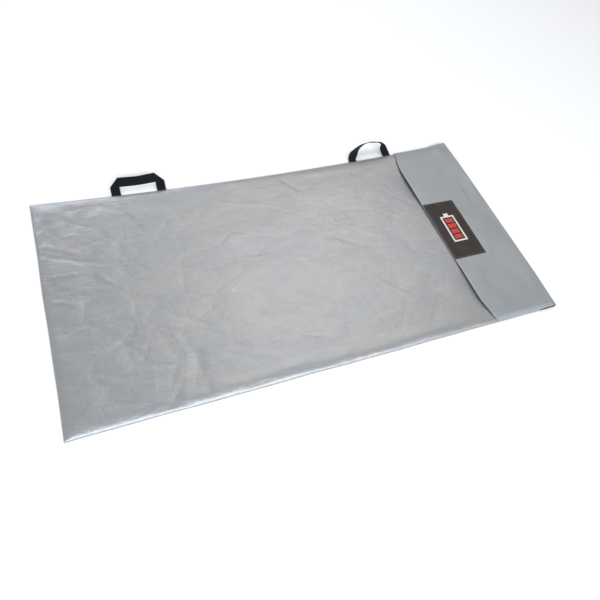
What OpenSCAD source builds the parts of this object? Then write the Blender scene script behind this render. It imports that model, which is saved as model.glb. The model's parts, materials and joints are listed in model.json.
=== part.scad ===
// Flat battery safety bag: a lined pouch with a fold-over flap, a hook-and-loop closure
// and two webbing carry handles. Millimetres, +Z up. The empty bag lies on its back panel,
// the origin is under the middle of that panel, the fold is at +X and the handles at +Y.

/* [Bag] */
// Length from the closed end to the fold
bag_l = 1300; // [1000:10:1600]
// Width across the two ends
bag_w = 667; // [500:1:900]
// How far the handle edge draws in at mid length
far_bow = 20; // [0:1:30]
// Thickness of the coated shell cloth
shell_t = 1.2; // [0.8:0.1:1.6]
// Thickness of the fire-resistant lining
lining_t = 1.2; // [0.8:0.1:2]
// Clear height inside the empty bag
hollow_h = 9; // [7:0.5:20]
// Width of the sloping band between a seam and the flat top
slope_w = 30; // [20:1:60]

/* [Seams] */
// Width of a bound seam
seam_w = 12; // [10:1:20]
// Thickness of a bound seam between the two panels
seam_t = 2.4; // [2.4:0.1:4]
// Gap between a bound seam and the lining beside it
lining_gap = 0.5; // [0.3:0.1:2]
// Distance from an edge to its line of stitches
stitch_in = 3; // [2:0.5:5]
// Width of a line of stitches
thread_w = 0.8; // [0.5:0.1:1.5]
// Height of a line of stitches
thread_h = 0.3; // [0.2:0.05:0.3]
// Thickness of the edge tape
tape_t = 0.6; // [0.4:0.1:1]
// Width of the edge tape once folded
tape_w = 12; // [8:1:20]

/* [Mouth and flap] */
// Distance from the mouth to the fold
mouth_d = 58; // [40:1:90]
// Depth of the flap, from the fold to its free edge
flap_d = 220; // [190:1:260]
// How far the flap's two corners are cut back
corner_back = 20; // [0:1:30]
// Length of the free edge over which a corner is cut back
corner_run = 90; // [60:1:150]
// Thickness of the flap's lining
flap_lining_t = 1; // [0.6:0.1:1.6]
// Width of the turned-under hem at the flap's free edge
hem_w = 16; // [12:1:24]
// Width of the hook and of the loop strip
strip_w = 50; // [25:1:50]
// Thickness of the hook and of the loop strip
strip_t = 1; // [0.8:0.1:1.5]
// Distance from the flap's free edge to the hook strip
strip_in = 36; // [30:1:50]
// How far the hook strip stays clear of the loop strip
strip_gap = 0.3; // [0.2:0.1:1]
// Thickness of the cloth at the fold
fold_t = 1.5; // [1:0.1:2]
// Height of the fold's lower bend line
fold_z = 1.5; // [1.2:0.1:3]
// Gap between two pieces that turn past each other
turn_gap = 0.3; // [0.2:0.1:1]

/* [Label] */
// Length of the label along the flap
label_l = 210; // [120:1:260]
// Width of the label across the flap
label_w = 105; // [60:1:130]
// How far the label sits from the middle of the flap, towards the near edge
label_shift = 18; // [0:1:60]
// Thickness of the label
label_t = 1; // [0.6:0.1:1.5]
// Thickness of the printed sign
print_t = 0.3; // [0.2:0.05:0.3]
// Length of the battery sign
sign_l = 96; // [60:1:110]
// Width of the battery sign
sign_w = 46; // [30:1:56]
// Width of the sign's outline
sign_line = 5; // [3:0.5:6]
// Number of charge bars in the sign
sign_bars = 4; // [2:1:4]

/* [Handles] */
// Width of the webbing
web_w = 25; // [20:1:30]
// Thickness of the webbing
web_t = 1.8; // [1.2:0.1:1.8]
// Clear gap between a handle's legs
grip_gap = 99; // [80:1:120]
// Distance from the closed end to the middle of the left handle
left_at = 282; // [200:1:400]
// Distance from the closed end to the middle of the right handle
right_at = 1011; // [700:1:1050]
// How far outside the seam a handle bends
bend_out = 7; // [5:0.5:12]
// Gap between a sewn-in end of a handle and its bend line
end_gap = 3.2; // [3:0.1:4]
// Reach of the folded left handle from its bend line
left_reach = 43; // [36:1:60]
// Length of the folded corner on the left handle
corner_fold = 24; // [15:1:25]
// Tilt of the left handle above the ground
left_tilt = 38; // [5:1:80]
// Reach of the twisted right handle from its bend line
right_reach = 43; // [34:1:60]
// Tilt of the right handle above the ground
right_tilt = 40; // [25:1:80]
// How far the right handle's top leans to the right
right_skew = 8; // [0:1:15]

/* [Hidden] */

end_x = -bag_l / 2;
fold_x = bag_l / 2;
near_y = -bag_w / 2;
mouth_x = fold_x - mouth_d;
flap_x = fold_x - flap_d;
sheet_x = fold_x - fold_t - turn_gap;
strip_x = flap_x + strip_in;

lining_z = shell_t;
seam_z = shell_t + seam_t;
under_z = shell_t + 2 * lining_t + hollow_h;
top_z = under_z + shell_t;
rise = under_z - seam_z;
hook_z = top_z + strip_t + strip_gap;
flap_lining_z = hook_z + strip_t;
flap_z = flap_lining_z + flap_lining_t;
flap_top_z = flap_z + shell_t;
label_top_z = flap_top_z + label_t;

bend_z = shell_t + seam_t / 2;
left_x = end_x + left_at;
right_x = end_x + right_at;
leg_x = grip_gap / 2 + web_w / 2;
leg_places = [left_x - leg_x, left_x + leg_x, right_x - leg_x, right_x + leg_x];
flat_in = seam_w + slope_w;
lining_in = seam_w + lining_gap;
sheet_end = mouth_x - tape_t;
edge_steps = 20;
cut_steps = 8;
label_y = -label_shift;
flap_far_y = far_y(flap_x);
tack_w = 2;
tack_in = 8;
end_in = 11;

// The handle edge is a shallow curve
function far_y(x) = bag_w / 2 - far_bow * (1 - pow(2 * x / bag_l, 2));
function along(x0, x1) = [for (i = [0:edge_steps]) x0 + (x1 - x0) * i / edge_steps];
function long_columns(first_in) = concat([for (d = bends(first_in)) end_x + d],
    [for (x = along(end_x + flat_in, sheet_end)) if (x > end_x + flat_in + 1) x]);
function reversed(list) = [for (i = [len(list) - 1:-1:0]) list[i]];
function left_bend_y() = far_y(left_x - leg_x - web_w / 2) + bend_out;
function right_bend_y() = far_y(right_x + leg_x + web_w / 2) + bend_out;

// Outline between the two long edges, drawn in by inset
module outline(x0, x1, inset) {
    xs = along(x0, x1);
    polygon(concat([[x0, near_y + inset], [x1, near_y + inset]],
        [for (x = reversed(xs)) [x, far_y(x) - inset]]));
}

// Free edge of the flap: straight in the middle, with its two corners cut back
function free_x(y) = flap_x + corner_back
    * pow(1 - min(1, min(y - near_y, flap_far_y - y) / corner_run), 2);
function free_ys() = concat([for (i = [0:cut_steps]) near_y + corner_run * i / cut_steps],
    [for (i = [cut_steps:-1:0]) flap_far_y - corner_run * i / cut_steps]);

// Everything beyond the flap's free edge
module past_free_edge() {
    polygon(concat([[flap_x - 40, near_y - 5], [free_x(near_y), near_y - 5]],
        [for (y = free_ys()) [free_x(y), y]],
        [[free_x(flap_far_y), flap_far_y + 5], [flap_x - 40, flap_far_y + 5]]));
}

// Band that follows the handle edge, from in0 to in1 inside it
module far_band(x0, x1, in0, in1) {
    xs = along(x0, x1);
    polygon(concat([for (x = xs) [x, far_y(x) - in1]],
        [for (x = reversed(xs)) [x, far_y(x) - in0]]));
}

module slab(z, t) {
    translate([0, 0, z]) linear_extrude(t) children();
}

module box(x0, x1, y0, y1, z, t) {
    translate([x0, y0, z]) cube([x1 - x0, y1 - y0, t]);
}

// Height of the front above its seams, at a distance d inside an edge
function ramp(d) = pow(sin(90 * min(1, max(0, (d - seam_w) / slope_w))), 2);
// Distances inside an edge at which the sheet bends, starting at first_in
function bends(first_in) = concat([first_in], first_in < seam_w ? [seam_w] : [],
    [seam_w + slope_w / 2, flat_in]);
// Rows of a sheet, each as [0 near or 1 far, distance inside that edge]
function near_rows(first_in) = [for (d = bends(first_in)) [0, d]];
function far_rows(first_in) = [for (d = reversed(bends(first_in))) [1, d]];
function row_y(x, row) = row[0] == 0 ? near_y + row[1] : far_y(x) - row[1];

// A sheet of thickness t over columns at xs and over rows, raised as the front is
module raised_sheet(xs, rows, z, t) {
    rn = len(rows);
    lower = [for (x = xs) for (row = rows)
        [x, row_y(x, row), z + rise * min(ramp(x - end_x), ramp(row[1]))]];
    upper = [for (p = lower) p + [0, 0, t]];
    m = len(lower);
    function at(i, j) = i * rn + j;
    tops = [for (i = [0:len(xs) - 2]) for (j = [0:rn - 2]) each [
        [m + at(i, j), m + at(i + 1, j + 1), m + at(i + 1, j)],
        [m + at(i, j), m + at(i, j + 1), m + at(i + 1, j + 1)]]];
    bottoms = [for (f = tops) [f[0] - m, f[2] - m, f[1] - m]];
    last = len(xs) - 1;
    rim = concat([for (i = [0:last]) at(i, 0)], [for (j = [1:rn - 1]) at(last, j)],
        [for (i = [last - 1:-1:0]) at(i, rn - 1)],
        rn > 2 ? [for (j = [rn - 2:-1:1]) at(0, j)] : []);
    r = len(rim);
    sides = [for (k = [0:r - 1]) each [
        [rim[k], rim[(k + 1) % r] + m, rim[(k + 1) % r]],
        [rim[k], rim[k] + m, rim[(k + 1) % r] + m]]];
    polyhedron(concat(lower, upper), concat(tops, bottoms, sides));
}

module back_panel() {
    color("#a9adb3") slab(0, shell_t) outline(end_x, sheet_x, 0);
}

module back_lining() {
    color("#c9c4b6") slab(lining_z, lining_t) outline(end_x + lining_in, mouth_x, lining_in);
}

// The front cloth: a flat middle and three margins that come down to the seams
module front_panel() {
    color("#b4b5b6") raised_sheet(along(end_x + flat_in, sheet_end),
        [[0, flat_in], [1, flat_in]], seam_z, shell_t);
}

module front_near_margin() {
    color("#b4b5b6") raised_sheet(long_columns(0), near_rows(0), seam_z, shell_t);
}

module front_far_margin() {
    color("#b4b5b6") raised_sheet(long_columns(0), far_rows(0), seam_z, shell_t);
}

module front_end_margin() {
    color("#b4b5b6") raised_sheet([for (d = bends(0)) end_x + d],
        [[0, flat_in], [1, flat_in]], seam_z, shell_t);
}

module front_lining() {
    color("#c9c4b6") raised_sheet(long_columns(lining_in),
        concat(near_rows(lining_in), far_rows(lining_in)), seam_z - lining_t, lining_t);
}

module near_seam_binding() {
    color("#8f9399") difference() {
        box(end_x, mouth_x, near_y, near_y + seam_w, shell_t, seam_t);
        near_stitches();
    }
}

module near_stitches() {
    box(end_x + stitch_in, mouth_x - stitch_in, near_y + stitch_in,
        near_y + stitch_in + thread_w, seam_z - thread_h, thread_h);
}

module far_stitches() {
    slab(seam_z - thread_h, thread_h)
        far_band(end_x + stitch_in, mouth_x - stitch_in, stitch_in, stitch_in + thread_w);
}

module end_stitches() {
    box(end_x + stitch_in, end_x + stitch_in + thread_w, near_y + seam_w + stitch_in,
        far_y(end_x) - seam_w - stitch_in, seam_z - thread_h, thread_h);
}

// The tape is interrupted where the webbing enters the seam
module far_seam_binding() {
    color("#8f9399") difference() {
        slab(shell_t, seam_t) far_band(end_x, mouth_x, 0, seam_w);
        far_stitches();
        for (x = leg_places)
            box(x - web_w / 2, x + web_w / 2, near_y, bag_w, shell_t, seam_t);
    }
}

module end_seam_binding() {
    color("#8f9399") difference() {
        slab(shell_t, seam_t) polygon([[end_x, near_y + seam_w],
            [end_x + seam_w, near_y + seam_w],
            [end_x + seam_w, far_y(end_x + seam_w) - seam_w - turn_gap],
            [end_x, far_y(end_x) - seam_w - turn_gap]]);
        end_stitches();
    }
}

module near_seam_thread() {
    color("#6f7378") near_stitches();
}

module far_seam_thread() {
    color("#6f7378") far_stitches();
}

module end_seam_thread() {
    color("#6f7378") end_stitches();
}

// Tape folded over the mouth's edge, along the flat part of the front
module mouth_binding() {
    y0 = near_y + flat_in;
    y1 = far_y(mouth_x) - flat_in;
    color("#9a9ea4") difference() {
        box(mouth_x - tape_w, mouth_x, y0, y1, under_z - lining_t - tape_t,
            lining_t + shell_t + 2 * tape_t);
        box(end_x, mouth_x - tape_t, y0 - 1, y1 + 1, under_z - lining_t, lining_t + shell_t);
    }
}

module strip_rows(z) {
    for (x = [strip_x + stitch_in, strip_x + strip_w - stitch_in - thread_w])
        box(x, x + thread_w, near_y + flat_in + stitch_in,
            far_y(strip_x) - flat_in - stitch_in, z, thread_h);
}

module loop_strip() {
    color("#5d6066") difference() {
        box(strip_x, strip_x + strip_w, near_y + flat_in, far_y(strip_x) - flat_in,
            top_z, strip_t);
        strip_rows(top_z + strip_t - thread_h);
    }
}

module loop_strip_thread() {
    color("#44474b") strip_rows(top_z + strip_t - thread_h);
}

// The two sewn-in ends of a handle, from inside the seam to just short of its bend
module handle_ends(x, bend_y) {
    for (side = [-1, 1])
        box(x + side * leg_x - web_w / 2, x + side * leg_x + web_w / 2,
            far_y(x + side * leg_x) - end_in, bend_y - end_gap, bend_z - web_t / 2, web_t);
}

module left_handle_ends() {
    color("#17181a") handle_ends(left_x, left_bend_y());
}

module right_handle_ends() {
    color("#17181a") handle_ends(right_x, right_bend_y());
}

// Close stitching that holds each end in the seam
module tacks() {
    for (x = leg_places)
        box(x - web_w / 2 + tack_w, x + web_w / 2 - tack_w, far_y(x) - tack_in - tack_w,
            far_y(x) - tack_in, bend_z + web_t / 2, seam_z - bend_z - web_t / 2);
}

module handle_bartacks() {
    color("#2b2d30") tacks();
}

// Strip of shell cloth that stands at the fold, between its two bend lines
module fold_panel() {
    color("#a7aeb4") box(fold_x - fold_t, fold_x, near_y, far_y(fold_x), fold_z,
        flap_top_z - fold_z);
}

module flap_core(inset) {
    difference() {
        outline(flap_x, sheet_x, inset);
        past_free_edge();
    }
}

module flap_panel() {
    color("#a3abb2") slab(flap_z, shell_t) flap_core(tape_t);
}

module flap_lining() {
    color("#c9c4b6") slab(flap_lining_z, flap_lining_t) flap_core(tape_t);
}

module flap_edge_hem() {
    y0 = near_y + tape_w;
    y1 = flap_far_y - tape_w;
    ys = concat([y0], [for (y = free_ys()) if (y > y0 && y < y1) y], [y1]);
    color("#98a0a7") slab(flap_lining_z - tape_t, tape_t)
        polygon(concat([for (y = ys) [free_x(y), y]],
            [for (y = reversed(ys)) [free_x(y) + hem_w, y]]));
}

module flap_near_binding() {
    color("#b9c0c6") difference() {
        box(flap_x, sheet_x, near_y, near_y + tape_w, flap_lining_z - tape_t,
            flap_lining_t + shell_t + 2 * tape_t);
        slab(flap_lining_z, flap_lining_t + shell_t)
            outline(flap_x - tape_w, sheet_x, tape_t);
        slab(flap_lining_z - 2 * tape_t, flap_lining_t + shell_t + 4 * tape_t)
            past_free_edge();
    }
}

module flap_far_binding() {
    color("#b9c0c6") difference() {
        slab(flap_lining_z - tape_t, flap_lining_t + shell_t + 2 * tape_t)
            far_band(flap_x, sheet_x, 0, tape_w);
        slab(flap_lining_z, flap_lining_t + shell_t)
            outline(flap_x - tape_w, sheet_x, tape_t);
        slab(flap_lining_z - 2 * tape_t, flap_lining_t + shell_t + 4 * tape_t)
            past_free_edge();
    }
}

module hook_strip() {
    color("#4d5056") box(strip_x, strip_x + strip_w, near_y + flat_in,
        far_y(strip_x) - flat_in, hook_z, strip_t);
}

module flap_thread() {
    color("#7b838a") difference() {
        strip_rows(flap_top_z);
        box(flap_x - 1, flap_x + label_w, label_y - label_l / 2, label_y + label_l / 2,
            flap_top_z, thread_h);
    }
}

module label_patch() {
    color("#43382f") box(flap_x, flap_x + label_w, label_y - label_l / 2,
        label_y + label_l / 2, flap_top_z, label_t);
}

// Battery sign: an outline with a terminal at one end and charge bars inside
module label_sign() {
    x0 = flap_x + (label_w - sign_w) / 2;
    y0 = label_y - sign_l / 2;
    inside_l = sign_l - 4 * sign_line;
    bar_l = (inside_l - (sign_bars - 1) * sign_line) / sign_bars;
    color("#d8d4cf") difference() {
        union() {
            box(x0, x0 + sign_w, y0, y0 + sign_l, label_top_z, print_t);
            box(x0 + sign_w / 3, x0 + 2 * sign_w / 3, y0 + sign_l, y0 + sign_l + 2 * sign_line,
                label_top_z, print_t);
        }
        box(x0 + sign_line, x0 + sign_w - sign_line, y0 + sign_line,
            y0 + sign_l - sign_line, label_top_z - 1, print_t + 2);
    }
    color("#c2362b") for (i = [0:sign_bars - 1])
        box(x0 + 2 * sign_line, x0 + sign_w - 2 * sign_line,
            y0 + 2 * sign_line + i * (bar_l + sign_line),
            y0 + 2 * sign_line + i * (bar_l + sign_line) + bar_l, label_top_z, print_t);
}

module label_thread() {
    w = label_w - 2 * stitch_in;
    l = label_l - 2 * stitch_in;
    color("#8b8178") translate([flap_x + label_w / 2, label_y, label_top_z])
        linear_extrude(thread_h) difference() {
            square([w, l], center = true);
            square([w - 2 * thread_w, l - 2 * thread_w], center = true);
        }
}

// Flat U of webbing with its corners folded over, drawn outwards from the bend line
module folded_loop() {
    half = leg_x + web_w / 2;
    start = web_t * 2 / 3;
    linear_extrude(web_t, center = true) difference() {
        polygon([[-half, start], [-half, left_reach - corner_fold],
            [-half + corner_fold, left_reach], [half - corner_fold, left_reach],
            [half, left_reach - corner_fold], [half, start]]);
        translate([-grip_gap / 2, 0]) square([grip_gap, left_reach - web_w]);
    }
}

module left_handle_webbing() {
    color("#141517") translate([left_x, left_bend_y(), bend_z])
        rotate([left_tilt, 0, 0]) folded_loop();
}

// Arch of webbing: flat at its two ends and turned on edge at the top by a twist in each leg
module twisted_loop() {
    steps = 36;
    start = web_t * 2 / 3;
    function mid(a) = [-leg_x * cos(a) + right_skew * sin(a),
        start + (right_reach - start) * pow(max(0, sin(a)), 0.8), 0];
    function unit(v) = v / norm(v);
    function way(i) = i == 0 || i == steps ? [0, i == 0 ? 1 : -1, 0]
        : unit(mid(180 * (i + 1) / steps) - mid(180 * (i - 1) / steps));
    function turn(i) = 90 * pow(sin(180 * i / steps), 0.8);
    function wide(i) = unit(cos(turn(i)) * cross(way(i), [0, 0, 1]) + [0, 0, sin(turn(i))]);
    rings = [for (i = [0:steps]) let (p = mid(180 * i / steps), w = wide(i),
        n = cross(way(i), w)) each [for (c = [[-1, -1], [1, -1], [1, 1], [-1, 1]])
            p + w * c[0] * web_w / 2 + n * c[1] * web_t / 2]];
    sides = [for (i = [0:steps - 1]) for (k = [0:3]) let (a = 4 * i + k, b = 4 * i + (k + 1) % 4)
        each [[a, b, b + 4], [a, b + 4, a + 4]]];
    last = 4 * steps;
    polyhedron(rings, concat(sides, [[0, 3, 2], [0, 2, 1],
        [last, last + 1, last + 2], [last, last + 2, last + 3]]));
}

module right_handle_webbing() {
    color("#141517") translate([right_x, right_bend_y(), bend_z])
        rotate([right_tilt, 0, 0]) twisted_loop();
}

back_panel();
back_lining();
front_panel();
front_near_margin();
front_far_margin();
front_end_margin();
front_lining();
near_seam_binding();
far_seam_binding();
end_seam_binding();
near_seam_thread();
far_seam_thread();
end_seam_thread();
mouth_binding();
loop_strip();
loop_strip_thread();
left_handle_ends();
right_handle_ends();
handle_bartacks();
fold_panel();
flap_panel();
flap_lining();
flap_edge_hem();
flap_near_binding();
flap_far_binding();
hook_strip();
flap_thread();
label_patch();
label_sign();
label_thread();
left_handle_webbing();
right_handle_webbing();
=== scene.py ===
# %% [markdown]
# # A flat battery safety bag
# This lesson builds the looks of a large lined pouch that lies empty on a floor: crinkled
# silver cloth, a smoother flap over the mouth, a rubber label and two black webbing handles.
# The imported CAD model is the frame. It says where every piece is and what moves, and the
# cloth is made around it. All lengths are in metres.

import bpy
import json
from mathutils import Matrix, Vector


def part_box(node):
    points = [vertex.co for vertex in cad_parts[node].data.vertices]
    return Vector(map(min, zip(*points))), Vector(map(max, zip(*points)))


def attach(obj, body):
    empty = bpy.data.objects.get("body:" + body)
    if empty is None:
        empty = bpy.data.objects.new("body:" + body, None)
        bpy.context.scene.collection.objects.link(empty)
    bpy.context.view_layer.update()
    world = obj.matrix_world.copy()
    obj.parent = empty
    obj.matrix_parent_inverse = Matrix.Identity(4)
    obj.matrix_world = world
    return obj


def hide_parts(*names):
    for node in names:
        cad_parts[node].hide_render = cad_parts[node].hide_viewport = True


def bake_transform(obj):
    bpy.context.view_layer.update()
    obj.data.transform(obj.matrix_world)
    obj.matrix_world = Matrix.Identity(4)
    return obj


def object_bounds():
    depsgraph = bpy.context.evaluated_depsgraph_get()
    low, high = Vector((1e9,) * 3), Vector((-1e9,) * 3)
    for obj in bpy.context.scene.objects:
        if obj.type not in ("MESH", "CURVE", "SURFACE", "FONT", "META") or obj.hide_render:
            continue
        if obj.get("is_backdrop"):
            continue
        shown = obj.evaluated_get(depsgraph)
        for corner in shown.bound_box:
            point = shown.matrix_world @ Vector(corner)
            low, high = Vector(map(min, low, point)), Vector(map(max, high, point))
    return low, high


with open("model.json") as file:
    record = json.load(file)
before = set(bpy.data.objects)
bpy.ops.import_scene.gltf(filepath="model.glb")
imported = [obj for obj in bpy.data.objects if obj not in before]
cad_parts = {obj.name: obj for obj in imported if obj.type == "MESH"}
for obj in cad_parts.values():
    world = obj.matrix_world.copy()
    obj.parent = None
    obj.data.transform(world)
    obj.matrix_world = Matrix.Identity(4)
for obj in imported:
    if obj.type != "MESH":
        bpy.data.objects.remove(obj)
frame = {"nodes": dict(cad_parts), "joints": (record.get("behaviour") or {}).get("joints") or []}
cad_box = [list(corner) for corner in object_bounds()]

import json
import math

import bpy
import numpy as np
from mathutils import Matrix, Vector

MM = 0.001

# %% [markdown]
# ## Measures taken from the frame
# Every place below comes from the boxes of the CAD nodes, so the cloth follows the design
# if its sizes change. The handle edge of the bag is a shallow curve, as in the CAD model.

# %% Measures
back_low, back_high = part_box("back_panel")
END_X, NEAR_Y, CORNER_Y = back_low.x, back_low.y, back_high.y
FOLD_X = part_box("fold_panel")[1].x
MOUTH_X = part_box("mouth_binding")[1].x
FLAP_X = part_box("flap_panel")[0].x
FRONT_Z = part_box("front_panel")[1].z
FLAP_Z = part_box("flap_panel")[1].z
FAR_BOW = 20 * MM
SEAM_Z = 2.2 * MM
OUT = 1.6 * MM
CLOTH = 0.9 * MM
LINING = 1.0 * MM
CORNER_BACK = 20 * MM
CORNER_RUN = 90 * MM


def far_edge(x):
    """Y of the handle edge at a place along the bag."""
    return CORNER_Y - FAR_BOW * (1 - (x / FOLD_X) ** 2)


def across(x, spots):
    """Y places from the near edge to the handle edge, for shares of the width."""
    return NEAR_Y - OUT + (far_edge(x) + 2 * OUT - NEAR_Y) * spots


def free_edge(y):
    """X of the flap's free edge: its two corners are cut back."""
    inside = np.minimum(y - NEAR_Y, far_edge(FLAP_X) - y)
    return FLAP_X + CORNER_BACK * (1 - np.clip(inside / CORNER_RUN, 0, 1)) ** 2


print("bag %.0f x %.0f mm" % ((FOLD_X - END_X) / MM, (CORNER_Y - NEAR_Y) / MM))

# %% [markdown]
# ## Camera
# The bag is seen from above its near long side, a little to the left of the middle, with
# the camera rolled so that the bag runs uphill across the frame. The camera stands at the
# height of a person's eyes bent over it. It is aimed at a point on the floor, then rolled.

# %% Camera
CAMERA_PLACE = Vector((-0.4813, -0.7864, 1.1580))
CAMERA_AIM = Vector((-0.0488, -0.1288, 0.0))
CAMERA_ROLL = math.radians(15.6)
CAMERA_LENS = 32.3

camera = bpy.data.objects.new("camera", bpy.data.cameras.new("camera"))
bpy.context.scene.collection.objects.link(camera)
camera.data.lens = CAMERA_LENS
camera.location = CAMERA_PLACE
camera.rotation_mode = "QUATERNION"
aim = (CAMERA_AIM - CAMERA_PLACE).to_track_quat("-Z", "Y")
camera.rotation_quaternion = aim @ Matrix.Rotation(CAMERA_ROLL, 3, "Z").to_quaternion()
bpy.context.scene.camera = camera
print("camera %.2f m above the floor" % camera.location.z)

# %% [markdown]
# ## Floor and light
# A plain pale floor and soft light from large panels. Silver cloth shows what it reflects,
# so the panels matter more than for matt cloth: one long cool panel low on the near side
# puts the bright line along the rolled near edge, and a wide one behind gives the broad sheen.

# %% Stage helpers
FLOOR_SIZE = 14.0
FLOOR_DROP = 0.4 * MM


def flat_colour(name, colour, roughness):
    """A plain material for the stage."""
    made = bpy.data.materials.new(name)
    made.use_nodes = True
    shader = made.node_tree.nodes["Principled BSDF"]
    shader.inputs["Base Color"].default_value = (*colour, 1)
    shader.inputs["Roughness"].default_value = roughness
    return made


def soft_panel(name, place, target, size, power, colour):
    """A large soft light that faces a target."""
    light = bpy.data.lights.new(name, "AREA")
    light.shape = "RECTANGLE"
    light.size, light.size_y = size
    light.energy = power
    light.color = colour
    lamp = bpy.data.objects.new(name, light)
    bpy.context.scene.collection.objects.link(lamp)
    lamp.location = place
    lamp.rotation_mode = "QUATERNION"
    lamp.rotation_quaternion = (Vector(target) - Vector(place)).to_track_quat("-Z", "Y")


# %% Floor and light
bpy.ops.mesh.primitive_plane_add(size=FLOOR_SIZE, location=(0, 0, -FLOOR_DROP))
floor = bpy.context.object
floor.name = "floor"
floor.data.materials.append(flat_colour("floor_paint", (0.975, 0.975, 0.975), 0.9))
floor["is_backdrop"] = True

world = bpy.data.worlds.new("room")
bpy.context.scene.world = world
world.use_nodes = True
room = world.node_tree.nodes["Background"]
room.inputs["Color"].default_value = (0.97, 0.98, 1.0, 1)
room.inputs["Strength"].default_value = 0.58
soft_panel("near_window", (-0.3, -1.9, 1.6), (0, -0.3, 0), (3.8, 0.7), 64, (0.84, 0.92, 1.0))
soft_panel("top_panel", (0.98, 1.5, 2.8), (0.05, 0, 0), (1.9, 2.0), 21, (1.0, 0.97, 0.94))
soft_panel("rear_window", (-0.9, 2.5, 0.95), (-0.4, 0, 0), (2.2, 0.5), 17, (0.82, 0.91, 1.0))
bpy.context.scene.view_settings.view_transform = "Standard"
bpy.context.scene.view_settings.look = "None"

# %% [markdown]
# ## Cloth from a grid of points
# A sheet of cloth is a grid of points that a rule places. The grid becomes a closed shell:
# an outer skin, an inner skin one thickness below it along the surface's own normal, and a
# rim that joins them. Solidify could do the same, but here the UV map is made as well, in
# metres of flat cloth, so that a weave follows the folds at its real scale.

# %% Normals and map of a grid
def grid_normals(points):
    """Unit normals of a grid of points, from its two directions."""
    du = np.gradient(points, axis=0)
    dv = np.gradient(points, axis=1)
    n = np.cross(du, dv)
    return n / np.maximum(np.linalg.norm(n, axis=2, keepdims=True), 1e-12)


def grid_uv(points):
    """Lengths along the cloth, in metres, as its UV map."""
    u = np.linalg.norm(np.diff(points, axis=0), axis=2)
    v = np.linalg.norm(np.diff(points, axis=1), axis=2)
    u = np.concatenate([np.zeros((1, points.shape[1])), np.cumsum(u, axis=0)])
    v = np.concatenate([np.zeros((points.shape[0], 1)), np.cumsum(v, axis=1)], axis=1)
    middle_u = u.mean(axis=1, keepdims=True) + 0 * u
    middle_v = v.mean(axis=0, keepdims=True) + 0 * v
    return np.stack([middle_u, middle_v], axis=2)


# %% [markdown]
# A piece is made from its vertices and faces at once. Edges that turn by more than 50
# degrees are kept sharp, so that the rim of a sheet doesn't blur its shading.

# %% Mesh helpers
SHARP_ANGLE = math.radians(50)


def new_piece(name, vertices, faces, material, uv=None):
    """A smooth-shaded mesh object at the origin."""
    mesh = bpy.data.meshes.new(name)
    mesh.from_pydata(np.asarray(vertices).tolist(), [], np.asarray(faces).tolist())
    if uv is not None:
        loops = np.empty(len(mesh.loops), np.int32)
        mesh.loops.foreach_get("vertex_index", loops)
        layer = mesh.uv_layers.new(name="cloth")
        layer.data.foreach_set("uv", np.asarray(uv, np.float32)[loops].ravel())
    mesh.shade_smooth()
    mesh.set_sharp_from_angle(angle=SHARP_ANGLE)
    mesh.materials.append(material)
    piece = bpy.data.objects.new(name, mesh)
    bpy.context.scene.collection.objects.link(piece)
    return piece


def shell_of(points, thickness):
    """Vertices and faces of a closed sheet, thickened inwards from its outer skin."""
    rows, cols = points.shape[:2]
    inner = points - grid_normals(points) * thickness
    index = np.arange(rows * cols).reshape(rows, cols)
    a, b, c, d = index[:-1, :-1], index[1:, :-1], index[1:, 1:], index[:-1, 1:]
    outer_faces = np.stack([a, b, c, d], axis=2).reshape(-1, 4)
    inner_faces = np.stack([a, d, c, b], axis=2).reshape(-1, 4) + rows * cols
    loop = np.concatenate([index[:, 0], index[-1, 1:], index[-2::-1, -1], index[0, -2:0:-1]])
    after = np.roll(loop, -1)
    rim = np.stack([loop, loop + rows * cols, after + rows * cols, after], axis=1)
    vertices = np.concatenate([points.reshape(-1, 3), inner.reshape(-1, 3)])
    return vertices, np.concatenate([outer_faces, inner_faces, rim])


def cloth(name, points, thickness, material):
    """A closed sheet of cloth from a grid of points on its outer skin."""
    vertices, faces = shell_of(points, thickness)
    uv = np.tile(grid_uv(points).reshape(-1, 2), (2, 1))
    piece = new_piece(name, vertices, faces, material, uv)
    print("%s: %d faces" % (name, len(piece.data.polygons)))
    return piece


# %% Steps and spacing
EDGE_STEPS = (0, 0.4, 1.2, 2.4, 4.0, 6.2, 9.0, 12.5)


def smooth(t):
    """0 to 1 with level ends."""
    t = np.clip(t, 0, 1)
    return t * t * (3 - 2 * t)


def graded(length, cell, fine=EDGE_STEPS, both=True):
    """Places along a length, close together at its ends where the cloth turns down."""
    start = np.array(fine) * MM
    stop = length - (start[::-1] if both else np.zeros(1))
    count = max(2, int(round((stop[0] - start[-1]) / cell)))
    inner = np.linspace(start[-1], stop[0], count + 1)[1:-1]
    return np.concatenate([start, inner, stop])


# %% [markdown]
# ## Shape of the front
# The empty bag is a low cushion of air. Its front comes down to the seams in a quarter
# round, tight at the two long edges and softer at the closed end. On top of that lie three
# sorts of wrinkle: a slow swell, folds that were pressed in when the bag was rolled up, and
# a crush of small facets. Coated cloth keeps folds as sharp lines, so a fold is a tent with
# straight sides rather than a wave. The near edge is the plumpest, because the layers were
# turned in there.

# %% Cushion of the front
ROLL = 46 * MM
END_ROLL = 60 * MM
PUFF = 2.6 * MM
FRONT_SINK = 2.4 * MM


def quarter(d, reach):
    """Quarter-round rise from an edge: 0 at the edge, 1 at reach and beyond."""
    s = np.clip(d / reach, 0, 1)
    return np.sqrt(np.maximum(1e-4, 1 - (1 - s) ** 2.4))


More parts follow.
